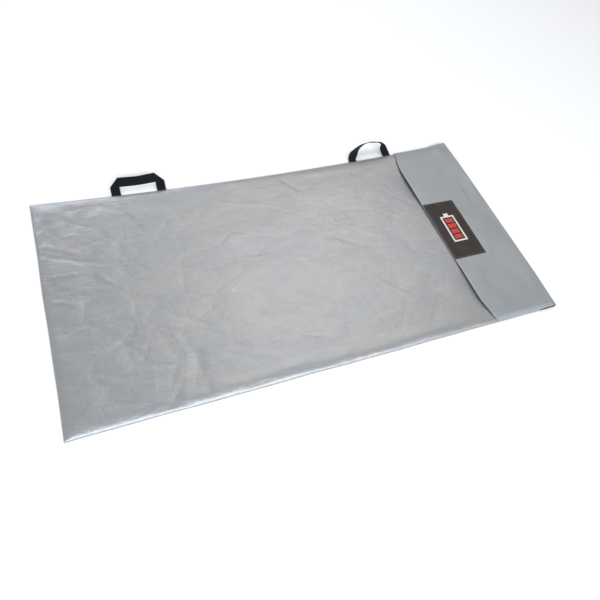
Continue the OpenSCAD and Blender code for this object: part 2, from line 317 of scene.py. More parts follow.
def front_base(x, y):
    """Height of the front without its wrinkles."""
    near = quarter(y - NEAR_Y + OUT, ROLL)
    far = quarter(far_edge(x) + OUT - y, ROLL)
    end = quarter(x - END_X + OUT, END_ROLL)
    full = FRONT_Z - FRONT_SINK + 1.6 * MM * smooth((x - END_X) / (MOUTH_X - END_X))
    rise = (near ** -4 + far ** -4 + end ** -4 - 2) ** -0.25
    puff = PUFF * np.exp(-((y - NEAR_Y - 24 * MM) / (17 * MM)) ** 2)
    puff *= smooth((x - END_X - 0.03) / 0.1) * (1 - smooth((x - 0.30) / 0.14))
    puff *= 0.75 + 0.25 * np.sin(x / 0.047) * np.cos(x / 0.081 + 1.0)
    return SEAM_Z + (full - SEAM_Z) * rise + puff


# %% [markdown]
# Three patterns make every wrinkle: a sum of slow waves, one tent-shaped fold, and a crush
# of flat facets. Noise from a texture could do it too, but these can be placed and measured.

# %% Wrinkle patterns
def swell(x, y, seed, count, longest, shortest, stretch=1.0):
    """Slow random waves, longer along the bag where stretch is over 1."""
    chance = np.random.default_rng(seed)
    total = np.zeros_like(x)
    for _ in range(count):
        wave = math.exp(chance.uniform(math.log(shortest), math.log(longest)))
        turn = chance.uniform(0, math.pi)
        k = 2 * math.pi / wave
        phase = chance.uniform(0, 2 * math.pi)
        total += np.sin(k * (x * math.cos(turn) / stretch + y * math.sin(turn)) + phase) * wave
    return total / (longest * math.sqrt(count / 2))


def fold_line(x, y, start, end, width, height, bend=0.0):
    """A pressed fold: a tent with straight sides along a line that bends a little."""
    sx, sy = start
    ex, ey = end
    length = math.hypot(ex - sx, ey - sy)
    ux, uy = (ex - sx) / length, (ey - sy) / length
    t = ((x - sx) * ux + (y - sy) * uy) / length
    d = (y - sy) * ux - (x - sx) * uy + bend * length * t * (1 - t)
    ends = smooth(t / 0.22) * smooth((1 - t) / 0.3)
    tent = np.maximum(0, 1 - np.sqrt((d / width) ** 2 + 0.01))
    return height * tent * ends


def crush(x, y, seed, cell, count=3):
    """Small flat facets with sharp edges between them, from folded waves."""
    chance = np.random.default_rng(seed)
    total = np.zeros_like(x)
    for _ in range(count):
        turn = chance.uniform(0, math.pi)
        phase = chance.uniform(0, 10)
        bent = 0.35 * cell * np.sin(2 * math.pi * (x * math.sin(turn) - y * math.cos(turn))
                                    / (2.3 * cell) + phase)
        wave = (x * math.cos(turn) + y * math.sin(turn) + bent) / cell + phase
        total += np.abs(2 * (wave - np.floor(wave)) - 1) - 0.5
    return total / count


# %% [markdown]
# The main folds are listed one by one, because they are what the eye picks out: a fan that starts
# at the closed end, a few short cross folds, and a crushed patch in the far corner.
# Many finer ones come from a seeded random rule, with rather more of them along the bag, as
# rolling it up leaves them.

# %% Wrinkles of the front
# Each fold: start, end (mm), half width (mm), height (mm), bend
MAIN_FOLDS = [
    ((-640, 150), (-465, 84), 9, -1.6, 0.04), ((-646, 82), (-515, 76), 8, 1.3, 0.05),
    ((-530, 78), (-478, 18), 7, 1.2, 0.03), ((-653, 190), (-545, 134), 9, 1.2, -0.05),
    ((-488, 126), (-440, 172), 8, -1.4, 0.05), ((-366, 146), (-310, 206), 10, -1.3, 0.03),
    ((-512, -142), (-456, -104), 9, -1.5, 0.06), ((-497, -212), (-449, -190), 8, -1.2, 0.04),
    ((-436, -330), (-384, -270), 10, -1.8, 0.02), ((-368, -296), (-330, -186), 22, -1.5, 0.05),
    ((-647, -200), (-570, -218), 8, 1.2, 0.04), ((-646, -300), (-575, -318), 7, 1.3, 0.02),
    ((-640, -316), (-560, -250), 8, 1.0, 0.05), ((-652, 20), (-560, -20), 8, 1.1, 0.03),
    ((-650, -90), (-540, -60), 9, -1.0, 0.04), ((-648, -140), (-590, -170), 7, 1.0, 0.04),
    ((-90, -226), (-30, -252), 8, 1.5, 0.04), ((35, 292), (84, 230), 9, -1.4, 0.05),
    ((-300, 40), (-50, 18), 6, 0.9, 0.02), ((90, 60), (230, -30), 10, -1.0, 0.05),
    ((170, -120), (250, -205), 8, 1.2, 0.04), ((300, -150), (400, -190), 7, 1.1, 0.05),
    ((330, 180), (420, 90), 10, -1.0, 0.03), ((-200, 250), (-60, 200), 9, 1.0, 0.04),
]
print("main folds:", len(MAIN_FOLDS))

# %% [markdown]
# The fine folds get a random start, direction, width and height. Each is worked out only
# round its own place, because most of the front is far from it.

# %% Every crease
FINE_FOLDS = 120
WRINKLE_SEED = 41
RIGHT_END_CALM = 0.35


def creases(x, y):
    """Every pressed fold and crushed patch, in metres."""
    total = np.zeros_like(x)
    for start, end, width, height, bend in MAIN_FOLDS:
        total += fold_line(x, y, (start[0] * MM, start[1] * MM), (end[0] * MM, end[1] * MM),
                           width * MM, height * MM, bend)
    chance = np.random.default_rng(WRINKLE_SEED + 1)
    for _ in range(FINE_FOLDS):
        sx = END_X + (MOUTH_X - END_X) * chance.uniform(0.01, 0.85) ** 1.25
        sy = chance.uniform(NEAR_Y + 0.02, 0.30)
        turn = chance.normal(0, 0.4) if chance.uniform() < 0.45 else chance.uniform(-1.5, 1.5)
        reach = chance.uniform(0.03, 0.15)
        width = chance.uniform(4, 9)
        height = chance.choice([-1, 1]) * chance.uniform(0.03, 0.10) * width
        bend = chance.uniform(-0.08, 0.08)
        here = (np.abs(x - sx) < reach + 0.02) & (np.abs(y - sy) < reach + 0.02)
        if here.any():
            end = (sx + reach * math.cos(turn), sy + reach * math.sin(turn))
            total[here] += fold_line(x[here], y[here], (sx, sy), end, width * MM,
                                     height * MM, bend)
    corner = smooth((x - END_X) / 0.03) * smooth((-0.24 - x) / 0.22)
    corner *= smooth((y - 0.19) / 0.08)
    total += corner * (4.2 * MM * crush(x, y, 5, 0.11) + 1.2 * MM * crush(x, y, 8, 0.05))
    end_band = smooth((-0.40 - x) / 0.2)
    total += end_band * 2.6 * MM * crush(x, y, 12, 0.12)
    total += 1.5 * MM * crush(x, y, 21, 0.16)
    return total * (1 - RIGHT_END_CALM * smooth((x + 0.1) / 0.3))


# %% Where wrinkles have room
def slow_swell(x, y):
    """The slow unevenness of the layers inside, in metres."""
    return 1.3 * MM * swell(x, y, WRINKLE_SEED, 34, 0.42, 0.07, 1.5)


def wrinkle_room(x, y):
    """How far the wrinkles may stand up: little at the seams and under the flap."""
    inside = np.minimum(np.minimum(y - NEAR_Y, far_edge(x) - y), x - END_X)
    at_seam = 0.08 + 0.92 * smooth((inside + OUT) / 0.035)
    return at_seam * (1 - 0.75 * smooth((x - FLAP_X) / 0.05))


def front_start(x, y):
    """Height of the front before the cloth settles."""
    return front_base(x, y) + slow_swell(x, y) * wrinkle_room(x, y)


# %% [markdown]
# The front is then let go as real cloth: held along its seams and at the mouth, cut a
# little larger than the space it has, and dropped on the layers inside. Where it has too
# much length it buckles by itself, which no rule of waves does as well. The sheet is
# coarse, and only its change of height is kept. The pressed folds are added after it.

# %% The sheet that settles
SETTLE_CELL = 7.5 * MM
SETTLE_FRAMES = 18
SPARE_LENGTH = 0.0016
SAG = 2.2 * MM
SETTLED_SHARE = 0.5
BED_GAP = 1 * MM
FIRST_UNEVENNESS = 0.12 * MM


def two_way_triangles(rows, cols):
    """Triangles whose diagonals alternate, so that no direction buckles more easily."""
    index = np.arange(rows * cols).reshape(rows, cols)
    a, b, c, d = index[:-1, :-1], index[1:, :-1], index[1:, 1:], index[:-1, 1:]
    even = (np.indices(a.shape).sum(axis=0) % 2 == 0)[..., None]
    one = np.where(even, np.stack([a, b, c], axis=2), np.stack([a, b, d], axis=2))
    two = np.where(even, np.stack([a, c, d], axis=2), np.stack([b, c, d], axis=2))
    return np.concatenate([one.reshape(-1, 3), two.reshape(-1, 3)])


def settling_sheet():
    """The coarse front before it settles, with its held edge, and its starting heights."""
    rows = int((MOUTH_X - END_X) / SETTLE_CELL)
    cols = int((CORNER_Y - NEAR_Y) / SETTLE_CELL)
    spots = np.linspace(0, 1, cols)
    x = np.repeat(np.linspace(END_X - OUT, MOUTH_X, rows)[:, None], cols, axis=1)
    y = across(x, spots[None, :])
    z = front_start(x, y)
    z_start = z + np.random.default_rng(17).normal(0, FIRST_UNEVENNESS, z.shape)
    mesh = bpy.data.meshes.new("settling")
    mesh.from_pydata(np.stack([x, y, z_start], axis=2).reshape(-1, 3).tolist(), [],
                     two_way_triangles(rows, cols).tolist())
    sheet = bpy.data.objects.new("settling", mesh)
    bpy.context.scene.collection.objects.link(sheet)
    held = np.ones((rows, cols), bool)
    held[2:-3, 2:-2] = False
    sheet.vertex_groups.new(name="held").add([int(i) for i in np.flatnonzero(held)], 1, "REPLACE")
    return sheet, z


def settling_bed():
    """The layers inside, as a level face that the front can't fall through."""
    level = FRONT_Z - FRONT_SINK - SAG - BED_GAP
    bed_mesh = bpy.data.meshes.new("bed")
    bed_mesh.from_pydata([(-1, -1, level), (1, -1, level), (1, 1, level), (-1, 1, level)], [],
                         [(0, 1, 2, 3)])
    bed = bpy.data.objects.new("bed", bed_mesh)
    bpy.context.scene.collection.objects.link(bed)
    bed.modifiers.new("bed", "COLLISION")
    bed.collision.thickness_outer = BED_GAP
    return bed


# %% Settling the front
def settle_front():
    """Change of height once the front has settled, on an even grid of the sheet."""
    sheet, z = settling_sheet()
    bed = settling_bed()
    modifier = sheet.modifiers.new("settle", "CLOTH")
    rule = modifier.settings
    rule.quality = 6
    rule.mass = 0.02
    rule.tension_stiffness = rule.compression_stiffness = 40
    rule.shear_stiffness = 20
    rule.bending_stiffness = 1.0
    rule.air_damping = 4
    rule.vertex_group_mass = "held"
    rule.shrink_min = -SPARE_LENGTH
    modifier.collision_settings.distance_min = BED_GAP
    modifier.point_cache.frame_end = SETTLE_FRAMES
    scene = bpy.context.scene
    for frame_number in range(1, SETTLE_FRAMES + 1):
        scene.frame_set(frame_number)
    shape = sheet.evaluated_get(bpy.context.evaluated_depsgraph_get()).to_mesh()
    settled = np.empty(z.size * 3)
    shape.vertices.foreach_get("co", settled)
    change = settled.reshape(*z.shape, 3)[..., 2] - z
    bpy.data.objects.remove(sheet)
    bpy.data.objects.remove(bed)
    scene.frame_set(1)
    print("settled: %.1f to %.1f mm" % (change.min() / MM, change.max() / MM))
    change = np.clip(change, -SAG, 3 * MM)
    for axis in (0, 1, 0, 1):
        change = 0.5 * change + 0.25 * (np.roll(change, 1, axis) + np.roll(change, -1, axis))
    return SETTLED_SHARE * change


# %% Height of the front
SETTLED = None
DENT = 3.0 * MM


def settled_change(x, y):
    """The settled change of height anywhere on the front."""
    if SETTLED is None:
        return np.zeros_like(x)
    rows, cols = SETTLED.shape
    row = np.clip((x - END_X + OUT) / (MOUTH_X - END_X + OUT), 0, 1) * (rows - 1)
    low, high = NEAR_Y - OUT, far_edge(x) + OUT
    col = np.clip((y - low) / (high - low), 0, 1) * (cols - 1)
    i, j = np.minimum(row.astype(int), rows - 2), np.minimum(col.astype(int), cols - 2)
    u, v = row - i, col - j
    change = ((1 - u) * (1 - v) * SETTLED[i, j] + u * (1 - v) * SETTLED[i + 1, j]
              + (1 - u) * v * SETTLED[i, j + 1] + u * v * SETTLED[i + 1, j + 1])
    return change * (1 - 0.85 * smooth((x - FLAP_X + 0.02) / 0.06))


def front_height(x, y):
    """Height of the front's outer skin, with a dent at each side of the label."""
    beside = np.exp(-((np.abs(y + 0.018) - 0.19) / 0.07) ** 2)
    dent = DENT * beside * np.exp(-((x - FLAP_X - 0.012) / 0.035) ** 2)
    start = front_start(x, y) + settled_change(x, y)
    return start + creases(x, y) * wrinkle_room(x, y) - dent


# %% [markdown]
# ## Materials
# A finish is built from a few repeated moves: noise that drifts the colour, noise that
# drifts the roughness, and height patterns that reach the shader through bump. A number
# that is the same all over is typed into the shader, because the exporter keeps only that.

# %% Material helpers
class Finish:
    """A material under construction, with short names for the moves that repeat."""

    def __init__(self, name, roughness, metallic=0.0, specular=0.5):
        self.material = bpy.data.materials.new(name)
        self.material.use_nodes = True
        self.tree = self.material.node_tree
        self.shader = self.tree.nodes["Principled BSDF"]
        self.shader.inputs["Roughness"].default_value = roughness
        self.shader.inputs["Metallic"].default_value = metallic
        self.shader.inputs["Specular IOR Level"].default_value = specular
        self.height = None

    def node(self, kind, **inputs):
        made = self.tree.nodes.new(kind)
        for key, value in inputs.items():
            self.put(made, key.replace("_", " "), value)
        return made

    def put(self, node, key, value):
        if isinstance(value, bpy.types.NodeSocket):
            self.tree.links.new(value, node.inputs[key])
        else:
            node.inputs[key].default_value = value

    def place(self, scale=(1, 1, 1), own_map=True):
        """Coordinates in metres, times scale: the cloth's own map, or the object's space."""
        source = self.node("ShaderNodeTexCoord").outputs["UV" if own_map else "Object"]
        mapping = self.node("ShaderNodeMapping", Vector=source)
        mapping.inputs["Scale"].default_value = scale
        return mapping.outputs["Vector"]

    def noise(self, where, scale=1.0, detail=3.0, rough=0.5, warp=0.0):
        made = self.node("ShaderNodeTexNoise", Vector=where, Scale=scale, Detail=detail,
                         Roughness=rough, Distortion=warp)
        return made.outputs["Fac"]

    def ramp(self, factor, low, high, low_colour, high_colour):
        made = self.node("ShaderNodeValToRGB", Fac=factor)
        first, last = made.color_ramp.elements
        first.position, last.position = low, high
        first.color, last.color = (*low_colour, 1), (*high_colour, 1)
        return made.outputs["Color"]

    def span(self, factor, low, high, from_low=0.0, from_high=1.0):
        made = self.node("ShaderNodeMapRange", Value=factor, From_Min=from_low,
                         From_Max=from_high, To_Min=low, To_Max=high)
        return made.outputs["Result"]

    def mix(self, factor, one, two, how="MIX"):
        made = self.tree.nodes.new("ShaderNodeMix")
        made.data_type = "RGBA"
        made.blend_type = how
        for key, value in ((0, factor), (6, one), (7, two)):
            if isinstance(value, bpy.types.NodeSocket):
                self.tree.links.new(value, made.inputs[key])
            else:
                made.inputs[key].default_value = value
        return made.outputs[2]

    def bump(self, pattern, distance, strength=1.0):
        made = self.node("ShaderNodeBump", Height=pattern, Distance=distance,
                         Strength=strength)
        if self.height is not None:
            self.tree.links.new(self.height, made.inputs["Normal"])
        self.height = made.outputs["Normal"]

    def done(self, colour=None, roughness=None):
        if colour is not None:
            self.put(self.shader, "Base Color", colour)
        if roughness is not None:
            self.put(self.shader, "Roughness", roughness)
        if self.height is not None:
            self.tree.links.new(self.height, self.shader.inputs["Normal"])
        return self.material


def ribs(finish, pitch, own_map=True, across=False):
    """Fine parallel ribs, pitch apart. The wave texture has 20 radians to a unit."""
    made = finish.tree.nodes.new("ShaderNodeTexWave")
    made.wave_type = "BANDS"
    made.bands_direction = "Y" if across else "X"
    made.inputs["Scale"].default_value = 1.0
    turns = 1 / pitch / 20 * 2 * math.pi
    finish.tree.links.new(finish.place((turns,) * 3, own_map), made.inputs["Vector"])
    return made.outputs["Fac"]


# %% [markdown]
# The silver cloth is woven yarn under a thin metal-bearing coat. From near by one sees the
# weave as faint ribs along the bag, and a net of tiny creases where the coat has cracked.
# Colour drifts at random between a cool and a faintly warm grey. Warm brownish islands on it are a
# painted reflection of the room, and light bluish streaks are a painted highlight.

# %% Silver cloth
def silver_cloth():
    made = Finish("silver_cloth", 0.36, metallic=0.68)
    patches = made.noise(made.place((4.2, 9.5, 1)), detail=3, rough=0.55, warp=1.1)
    # Light bluish streaks mixed into the colour are a painted highlight.
    painted_highlight_streaks = made.noise(made.place((16, 70, 1)), detail=4, rough=0.6, warp=0.4)
    drift = made.ramp(patches, 0.40, 0.62, (0.346, 0.352, 0.361), (0.377, 0.369, 0.358))
    # Warm brownish islands mixed into the colour are a painted reflection of the room.
    painted_reflection_islands = made.noise(made.place((7.5, 17, 1)), detail=3, rough=0.5, warp=1.6)
    drift_and_painted_reflection = made.mix(made.span(painted_reflection_islands, 0.0, 0.55, 0.60, 0.66), drift, (0.436, 0.402, 0.376, 1))
    colour = made.mix(made.span(painted_highlight_streaks, 0.0, 0.4, 0.3, 0.8), drift_and_painted_reflection, (0.432, 0.442, 0.457, 1))
    made.bump(made.noise(made.place((13, 19, 1)), detail=5, rough=0.55, warp=0.8), 3.0 * MM, 0.42)
    along = made.node("ShaderNodeSeparateXYZ", Vector=made.place(own_map=False)).outputs["X"]
    calm = made.span(along, 1.0, 0.35, -0.45, 0.25)
    for scale, distance in (((10, 14, 1), 1.6 * MM), ((34, 52, 1), 0.45 * MM)):
        net = made.node("ShaderNodeTexVoronoi", Scale=1.0, Vector=made.place(scale))
        net.feature = "DISTANCE_TO_EDGE"
        lines = made.span(net.outputs["Distance"], 0.0, 1.0, 0.0, 0.14)
        weighed = made.node("ShaderNodeMath")
        weighed.operation = "MULTIPLY"
        made.tree.links.new(lines, weighed.inputs[0])
        made.tree.links.new(calm, weighed.inputs[1])
        made.bump(weighed.outputs[0], distance, 0.38)
    made.bump(made.noise(made.place((90, 160, 1)), detail=4, rough=0.6), 0.8 * MM, 0.45)
    made.bump(ribs(made, 1.1 * MM, across=True), 0.10 * MM, 0.5)
    made.bump(ribs(made, 1.1 * MM), 0.06 * MM, 0.5)
    rough = made.span(made.noise(made.place((9, 30, 1)), detail=3), 0.30, 0.44)
    return made.done(colour, rough)


# %% [markdown]
# The flap is the same cloth with its smoother face out, so it is more even, duller and
# bluer. Lining, tape, webbing, hook and loop, rubber, print and thread each get their own
# rule below: matt felted glass yarn, satin tape, ribbed black webbing, dark pile, matt
# rubber with a fine grain, satin ink with worn specks, and twisted thread.

# %% Flap cloth
def flap_cloth():
    made = Finish("flap_cloth", 0.42, metallic=0.55)
    patches = made.noise(made.place((5, 4, 1)), detail=2, warp=0.3)
    drift = made.ramp(patches, 0.35, 0.7, (0.335, 0.348, 0.355), (0.372, 0.381, 0.386))
    made.bump(made.noise(made.place((15, 12, 1)), detail=4, rough=0.5, warp=0.4), 2.0 * MM, 0.4)
    made.bump(made.noise(made.place((150, 120, 1)), detail=3, rough=0.6), 0.4 * MM, 0.4)
    made.bump(ribs(made, 1.0 * MM, across=True), 0.08 * MM, 0.5)
    made.bump(ribs(made, 1.0 * MM), 0.08 * MM, 0.5)
    rough = made.span(made.noise(made.place((14, 14, 1)), detail=3), 0.40, 0.52)
    return made.done(drift, rough)


# %% Lining and tape
def lining_cloth():
    made = Finish("lining_cloth", 0.86)
    fuzz = made.noise(made.place((420, 420, 1)), detail=4, rough=0.65)
    colour = made.ramp(fuzz, 0.3, 0.75, (0.50, 0.47, 0.38), (0.68, 0.65, 0.56))
    made.bump(fuzz, 0.4 * MM, 0.6)
    made.bump(ribs(made, 2.2 * MM), 0.3 * MM, 0.6)
    made.bump(ribs(made, 2.2 * MM, across=True), 0.3 * MM, 0.6)
    return made.done(colour)


def edge_tape():
    made = Finish("edge_tape", 0.5, metallic=0.2)
    fuzz = made.noise(made.place((300, 300, 300), own_map=False), detail=3)
    colour = made.ramp(fuzz, 0.3, 0.7, (0.29, 0.305, 0.318), (0.35, 0.365, 0.378))
    made.bump(ribs(made, 0.9 * MM, own_map=False), 0.12 * MM, 0.6)
    made.bump(fuzz, 0.1 * MM, 0.4)
    return made.done(colour)


# %% Webbing and pile
def webbing():
    made = Finish("webbing", 0.78, specular=0.2)
    made.shader.inputs["Sheen Weight"].default_value = 0.03
    made.shader.inputs["Sheen Roughness"].default_value = 0.5
    fuzz = made.noise(made.place((700, 700, 700), own_map=False), detail=4, rough=0.6)
    colour = made.ramp(fuzz, 0.3, 0.8, (0.0035, 0.0035, 0.004), (0.011, 0.011, 0.012))
    made.bump(ribs(made, 1.6 * MM), 0.5 * MM, 0.7)
    made.bump(ribs(made, 2.8 * MM, across=True), 0.35 * MM, 0.6)
    made.bump(fuzz, 0.12 * MM, 0.5)
    return made.done(colour)


def pile(name, low, high):
    made = Finish(name, 0.8)
    fuzz = made.noise(made.place((900, 900, 900), own_map=False), detail=4, rough=0.7)
    made.bump(fuzz, 0.5 * MM, 0.8)
    return made.done(made.ramp(fuzz, 0.3, 0.75, low, high))


# %% Rubber, ink and thread
def label_rubber():
    made = Finish("label_rubber", 0.6, specular=0.3)
    grain = made.noise(made.place((900, 900, 900), own_map=False), detail=4, rough=0.6)
    drift = made.noise(made.place((30, 30, 30), own_map=False), detail=2)
    colour = made.ramp(drift, 0.3, 0.7, (0.026, 0.019, 0.015), (0.038, 0.028, 0.023))
    made.bump(grain, 0.12 * MM, 0.5)
    return made.done(colour, made.span(grain, 0.46, 0.64))


def ink(name, low, high):
    made = Finish(name, 0.4)
    specks = made.noise(made.place((500, 500, 500), own_map=False), detail=3, rough=0.6)
    made.bump(specks, 0.08 * MM, 0.5)
    return made.done(made.ramp(specks, 0.35, 0.6, low, high), made.span(specks, 0.34, 0.5))


def twisted_thread(name, low, high):
    made = Finish(name, 0.62)
    twist = made.node("ShaderNodeTexWave", Vector=made.place((1, 1, 1), own_map=False),
                      Scale=320.0)
    twist.bands_direction = "DIAGONAL"
    made.bump(twist.outputs["Fac"], 0.15 * MM, 0.8)
    return made.done(made.ramp(twist.outputs["Fac"], 0.2, 0.8, low, high))


# %% All finishes
SILVER = silver_cloth()
FLAP = flap_cloth()
FELT = lining_cloth()
TAPE = edge_tape()
WEB = webbing()
HOOKS = pile("hook_pile", (0.04, 0.042, 0.046), (0.11, 0.115, 0.122))
LOOPS = pile("loop_pile", (0.07, 0.074, 0.08), (0.18, 0.186, 0.194))
RUBBER = label_rubber()
WHITE_INK = ink("white_ink", (0.52, 0.50, 0.48), (0.80, 0.78, 0.76))
RED_INK = ink("red_ink", (0.36, 0.022, 0.014), (0.58, 0.036, 0.022))
GREY_THREAD = twisted_thread("grey_thread", (0.22, 0.23, 0.25), (0.40, 0.42, 0.44))
BROWN_THREAD = twisted_thread("brown_thread", (0.16, 0.13, 0.11), (0.30, 0.26, 0.22))
print("finishes:", len(bpy.data.materials))

# %% [markdown]
# ## Front and back panels
# The front is one sheet from the closed end to the mouth. Its grid is close together at
# the edges, where it turns down to the seam, and about 4 mm wide elsewhere, fine enough
# for the folds. The back lies on the floor, curls up to meet the front at the seam, and
# runs on past the mouth and round the lower half of the fold. Both wander by a millimetre or
# two along the near seam and the closed end, which keeps those edges from looking ruled.

# %% Front
CELL = 4.3 * MM
WANDER = 0.8 * MM


def spots_over(cell, fine=EDGE_STEPS):
    """Shares of the bag's width, close together at both edges."""
    width = CORNER_Y - NEAR_Y
    return graded(width, cell, fine) / width


def wander(points):
    """Lets the near seam and the closed end run a little unevenly, as sewn edges do."""
    x, y = points[..., 0].copy(), points[..., 1].copy()
    near = (1 - smooth((y - NEAR_Y) / 0.07)) * (1 - smooth((x - FLAP_X + 0.16) / 0.12))
    end = 1 - smooth((x - END_X) / 0.07)
    points[..., 1] -= near * WANDER * (1 + 0.6 * np.sin(x / 0.061) + 0.4 * np.sin(x / 0.027 + 2))
    points[..., 0] -= end * WANDER * (1 + 0.6 * np.sin(y / 0.058 + 1) + 0.4 * np.sin(y / 0.031))
    return points


def front_points(columns, spots):
    x = np.repeat(columns[:, None], len(spots), axis=1)
    y = across(x, spots[None, :])
    return wander(np.stack([x, y, front_height(x, y)], axis=2))


SETTLED = settle_front()
front_columns = END_X - OUT + graded(MOUTH_X - END_X + OUT, CELL, both=False)
front = cloth("front_cloth", front_points(front_columns, spots_over(CELL)), CLOTH, SILVER)
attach(front, "pouch")
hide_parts("front_panel", "front_near_margin", "front_far_margin", "front_end_margin")

# %% [markdown]
# ## The fold
# Behind the mouth the cloth runs on, rolls over at the fold and comes back as the flap. In section
# the fold is a half round that is fuller in the middle of the bag than at its two ends. It is
# split at its outermost line: below it belongs to the back, above it to the flap.

# %% Rules for the fold
HALF_TURN = 7


def fold_radius(y):
    """Radius of the half round at the fold, tighter towards the bag's long edges."""
    inside = np.minimum(y - NEAR_Y, CORNER_Y - y)
    full = (FLAP_Z - 0.4 * MM) / 2
    return full - 2.2 * MM * (1 - smooth(inside / 0.12))


def fold_section(y, upper):
    """X and Z of half the fold at each y: upper from the middle up, or lower up to it."""
    radius = fold_radius(y)
    turn = np.linspace(0, math.pi / 2, HALF_TURN) if upper else np.linspace(
        -math.pi / 2, 0, HALF_TURN)
    x = FOLD_X - radius[None, :] + radius[None, :] * np.cos(turn)[:, None]
    z = radius[None, :] + radius[None, :] * np.sin(turn)[:, None] + 0.1 * MM
    return x, z


# %% Back
def back_points(cell):
    spots = spots_over(cell, fine=(0, 0.8, 2.0, 4.0, 7.0, 11.0))
    start = END_X - OUT
    flat_end = FOLD_X - 12 * MM
    columns = start + graded(flat_end - start, cell, (0, 0.8, 2.0, 4.0, 7.0, 11.0), both=False)
    x = np.repeat(columns[:, None], len(spots), axis=1)
    y = across(x, spots[None, :])
    inside = np.minimum(np.minimum(y - NEAR_Y + OUT, far_edge(x) + OUT - y), x - start)
    curl = (SEAM_Z - 0.5 * MM) * (1 - quarter(inside, 9 * MM))
    past_seam = 1 - smooth((x - MOUTH_X) / (20 * MM))
    lift = 0.35 * MM * (1 + np.clip(swell(x, y, 7, 20, 0.3, 0.08), -1, 1))
    lift *= 1 - smooth((x - MOUTH_X) / (40 * MM))
    z = 0.1 * MM + curl * past_seam + lift * smooth(inside / 0.03)
    fold_y = across(np.full(len(spots), FOLD_X), spots)
    fold_x, fold_z = fold_section(fold_y, upper=False)
    turned = np.stack([fold_x, np.repeat(fold_y[None, :], HALF_TURN, axis=0), fold_z], axis=2)
    return np.concatenate([wander(np.stack([x, y, z], axis=2)), turned])


back_grid = back_points(9 * MM)
back = cloth("back_cloth", back_grid[::-1], CLOTH, SILVER)
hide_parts("back_panel")
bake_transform(back)

# %% [markdown]
# ## Flap
# The flap lies on the front, a few millimetres above it because the closure strips and its
# own lining are between them. It sags softly, comes down at its two short edges, and lifts
# along its free edge between the stiff label and the corners. Its free edge is turned under.
# A soft limit keeps it above the layers below it, and another keeps its highest places from
# going through the floor when it is turned right over.

# %% Shape of the loose flap
LABEL_LOW, LABEL_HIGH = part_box("label_patch")
STACK = FLAP_Z - FRONT_Z
HEM = 16 * MM
FLAP_LIMIT = 19.4 * MM
LABEL_LIMIT = 18.1 * MM
SOFT = 0.6 * MM


def loose_flap(x, y):
    """Height of the flap's outer skin if it had no label."""
    edge = np.minimum(y - NEAR_Y, far_edge(x) - y)
    stack = 2.7 * MM + (STACK - 2.7 * MM) * smooth(edge / 0.05)
    on_bag = front_base(x, y) + stack
    top = 2 * fold_radius(y) + 0.1 * MM
    t = smooth((x - MOUTH_X + 0.02) / (FOLD_X - MOUTH_X - 0.012 + 0.02))
    bulge = 2.0 * MM * np.sin(math.pi * t) * (1 - smooth(edge / 0.1))
    free = smooth(1 - (x - free_edge(y)) / 0.09)
    beside = np.exp(-((np.abs(y + 0.018) - 0.19) / 0.065) ** 2)
    lift = (3.0 * MM * beside * np.where(y < 0, 1.0, 0.8) + 0.4 * MM) * free
    waves = 2.2 * MM * swell(x, y, 77, 26, 0.26, 0.06) * smooth(edge / 0.03)
    pucker = fold_line(x, y, (FLAP_X - 0.006, -0.131), (FLAP_X + 0.075, -0.146), 7 * MM, 1.8 * MM)
    waves += fold_line(x, y, (FLAP_X + 0.02, -0.20), (FOLD_X - 0.05, -0.26), 22 * MM, -0.9 * MM)
    waves += fold_line(x, y, (FLAP_X + 0.03, 0.235), (FOLD_X - 0.04, 0.275), 20 * MM, -0.8 * MM)
    height = on_bag * (1 - t) + top * t + bulge + lift + pucker
    height += waves * (1 - smooth((x - FOLD_X + 0.03) / 0.03))
    under = front_height(np.minimum(x, MOUTH_X), y) + 2.4 * MM + 1.5 * MM * smooth(edge / 0.04)
    under *= 1 - smooth((x - MOUTH_X) / 0.03)
    height = SOFT * np.logaddexp(height / SOFT, under / SOFT)
    return -SOFT * np.logaddexp(-height / SOFT, -FLAP_LIMIT / SOFT)


# %% [markdown]
# The label is stiffer than the cloth, so it decides the flap's shape where it is sewn on:
# a ruled surface between its two long edges. Round it the cloth runs back to its own shape.

# %% Height of the flap
LABEL_HOLD = 20 * MM


def label_seat(x, y):
    """The flap's height where the label holds it flat: a ruled surface between two edges."""
    low, high = LABEL_LOW, LABEL_HIGH
    cx = np.clip(x, low.x, high.x)
    cy = np.clip(y, low.y, high.y)
    left = loose_flap(np.full_like(cy, low.x), cy)
    right = loose_flap(np.full_like(cy, high.x), cy)
    share = (cx - low.x) / (high.x - low.x)
    return np.minimum(left + (right - left) * share, LABEL_LIMIT)


def flap_height(x, y):
    """Height of the flap's outer skin, with the label sewn on."""
    off_x = np.maximum(np.maximum(LABEL_LOW.x - x, x - LABEL_HIGH.x), 0)
    off_y = np.maximum(np.maximum(LABEL_LOW.y - y, y - LABEL_HIGH.y), 0)
    held = 1 - smooth(np.hypot(off_x, off_y) / LABEL_HOLD)
    return loose_flap(x, y) * (1 - held) + (label_seat(x, y) - 0.1 * MM) * held


def flap_places(shares, spots, end, inset=0.0):
    """X and Y on the flap, for shares of the way from its free edge to an end."""
    y = across(np.full((len(shares), len(spots)), FLAP_X + 0.1), spots[None, :])
    start = free_edge(y) + inset
    x = start + (end - start) * shares[:, None]
    return x, across(x, spots[None, :])


# %% Flap
UNDER_EDGE = ((0.7, 0.5), (0.9, 1.3), (0.6, 2.1), (-0.4, 2.6))
HEM_SHARES = (0.3, 0.65, 1.0)
HEM_DROP = 2.9 * MM


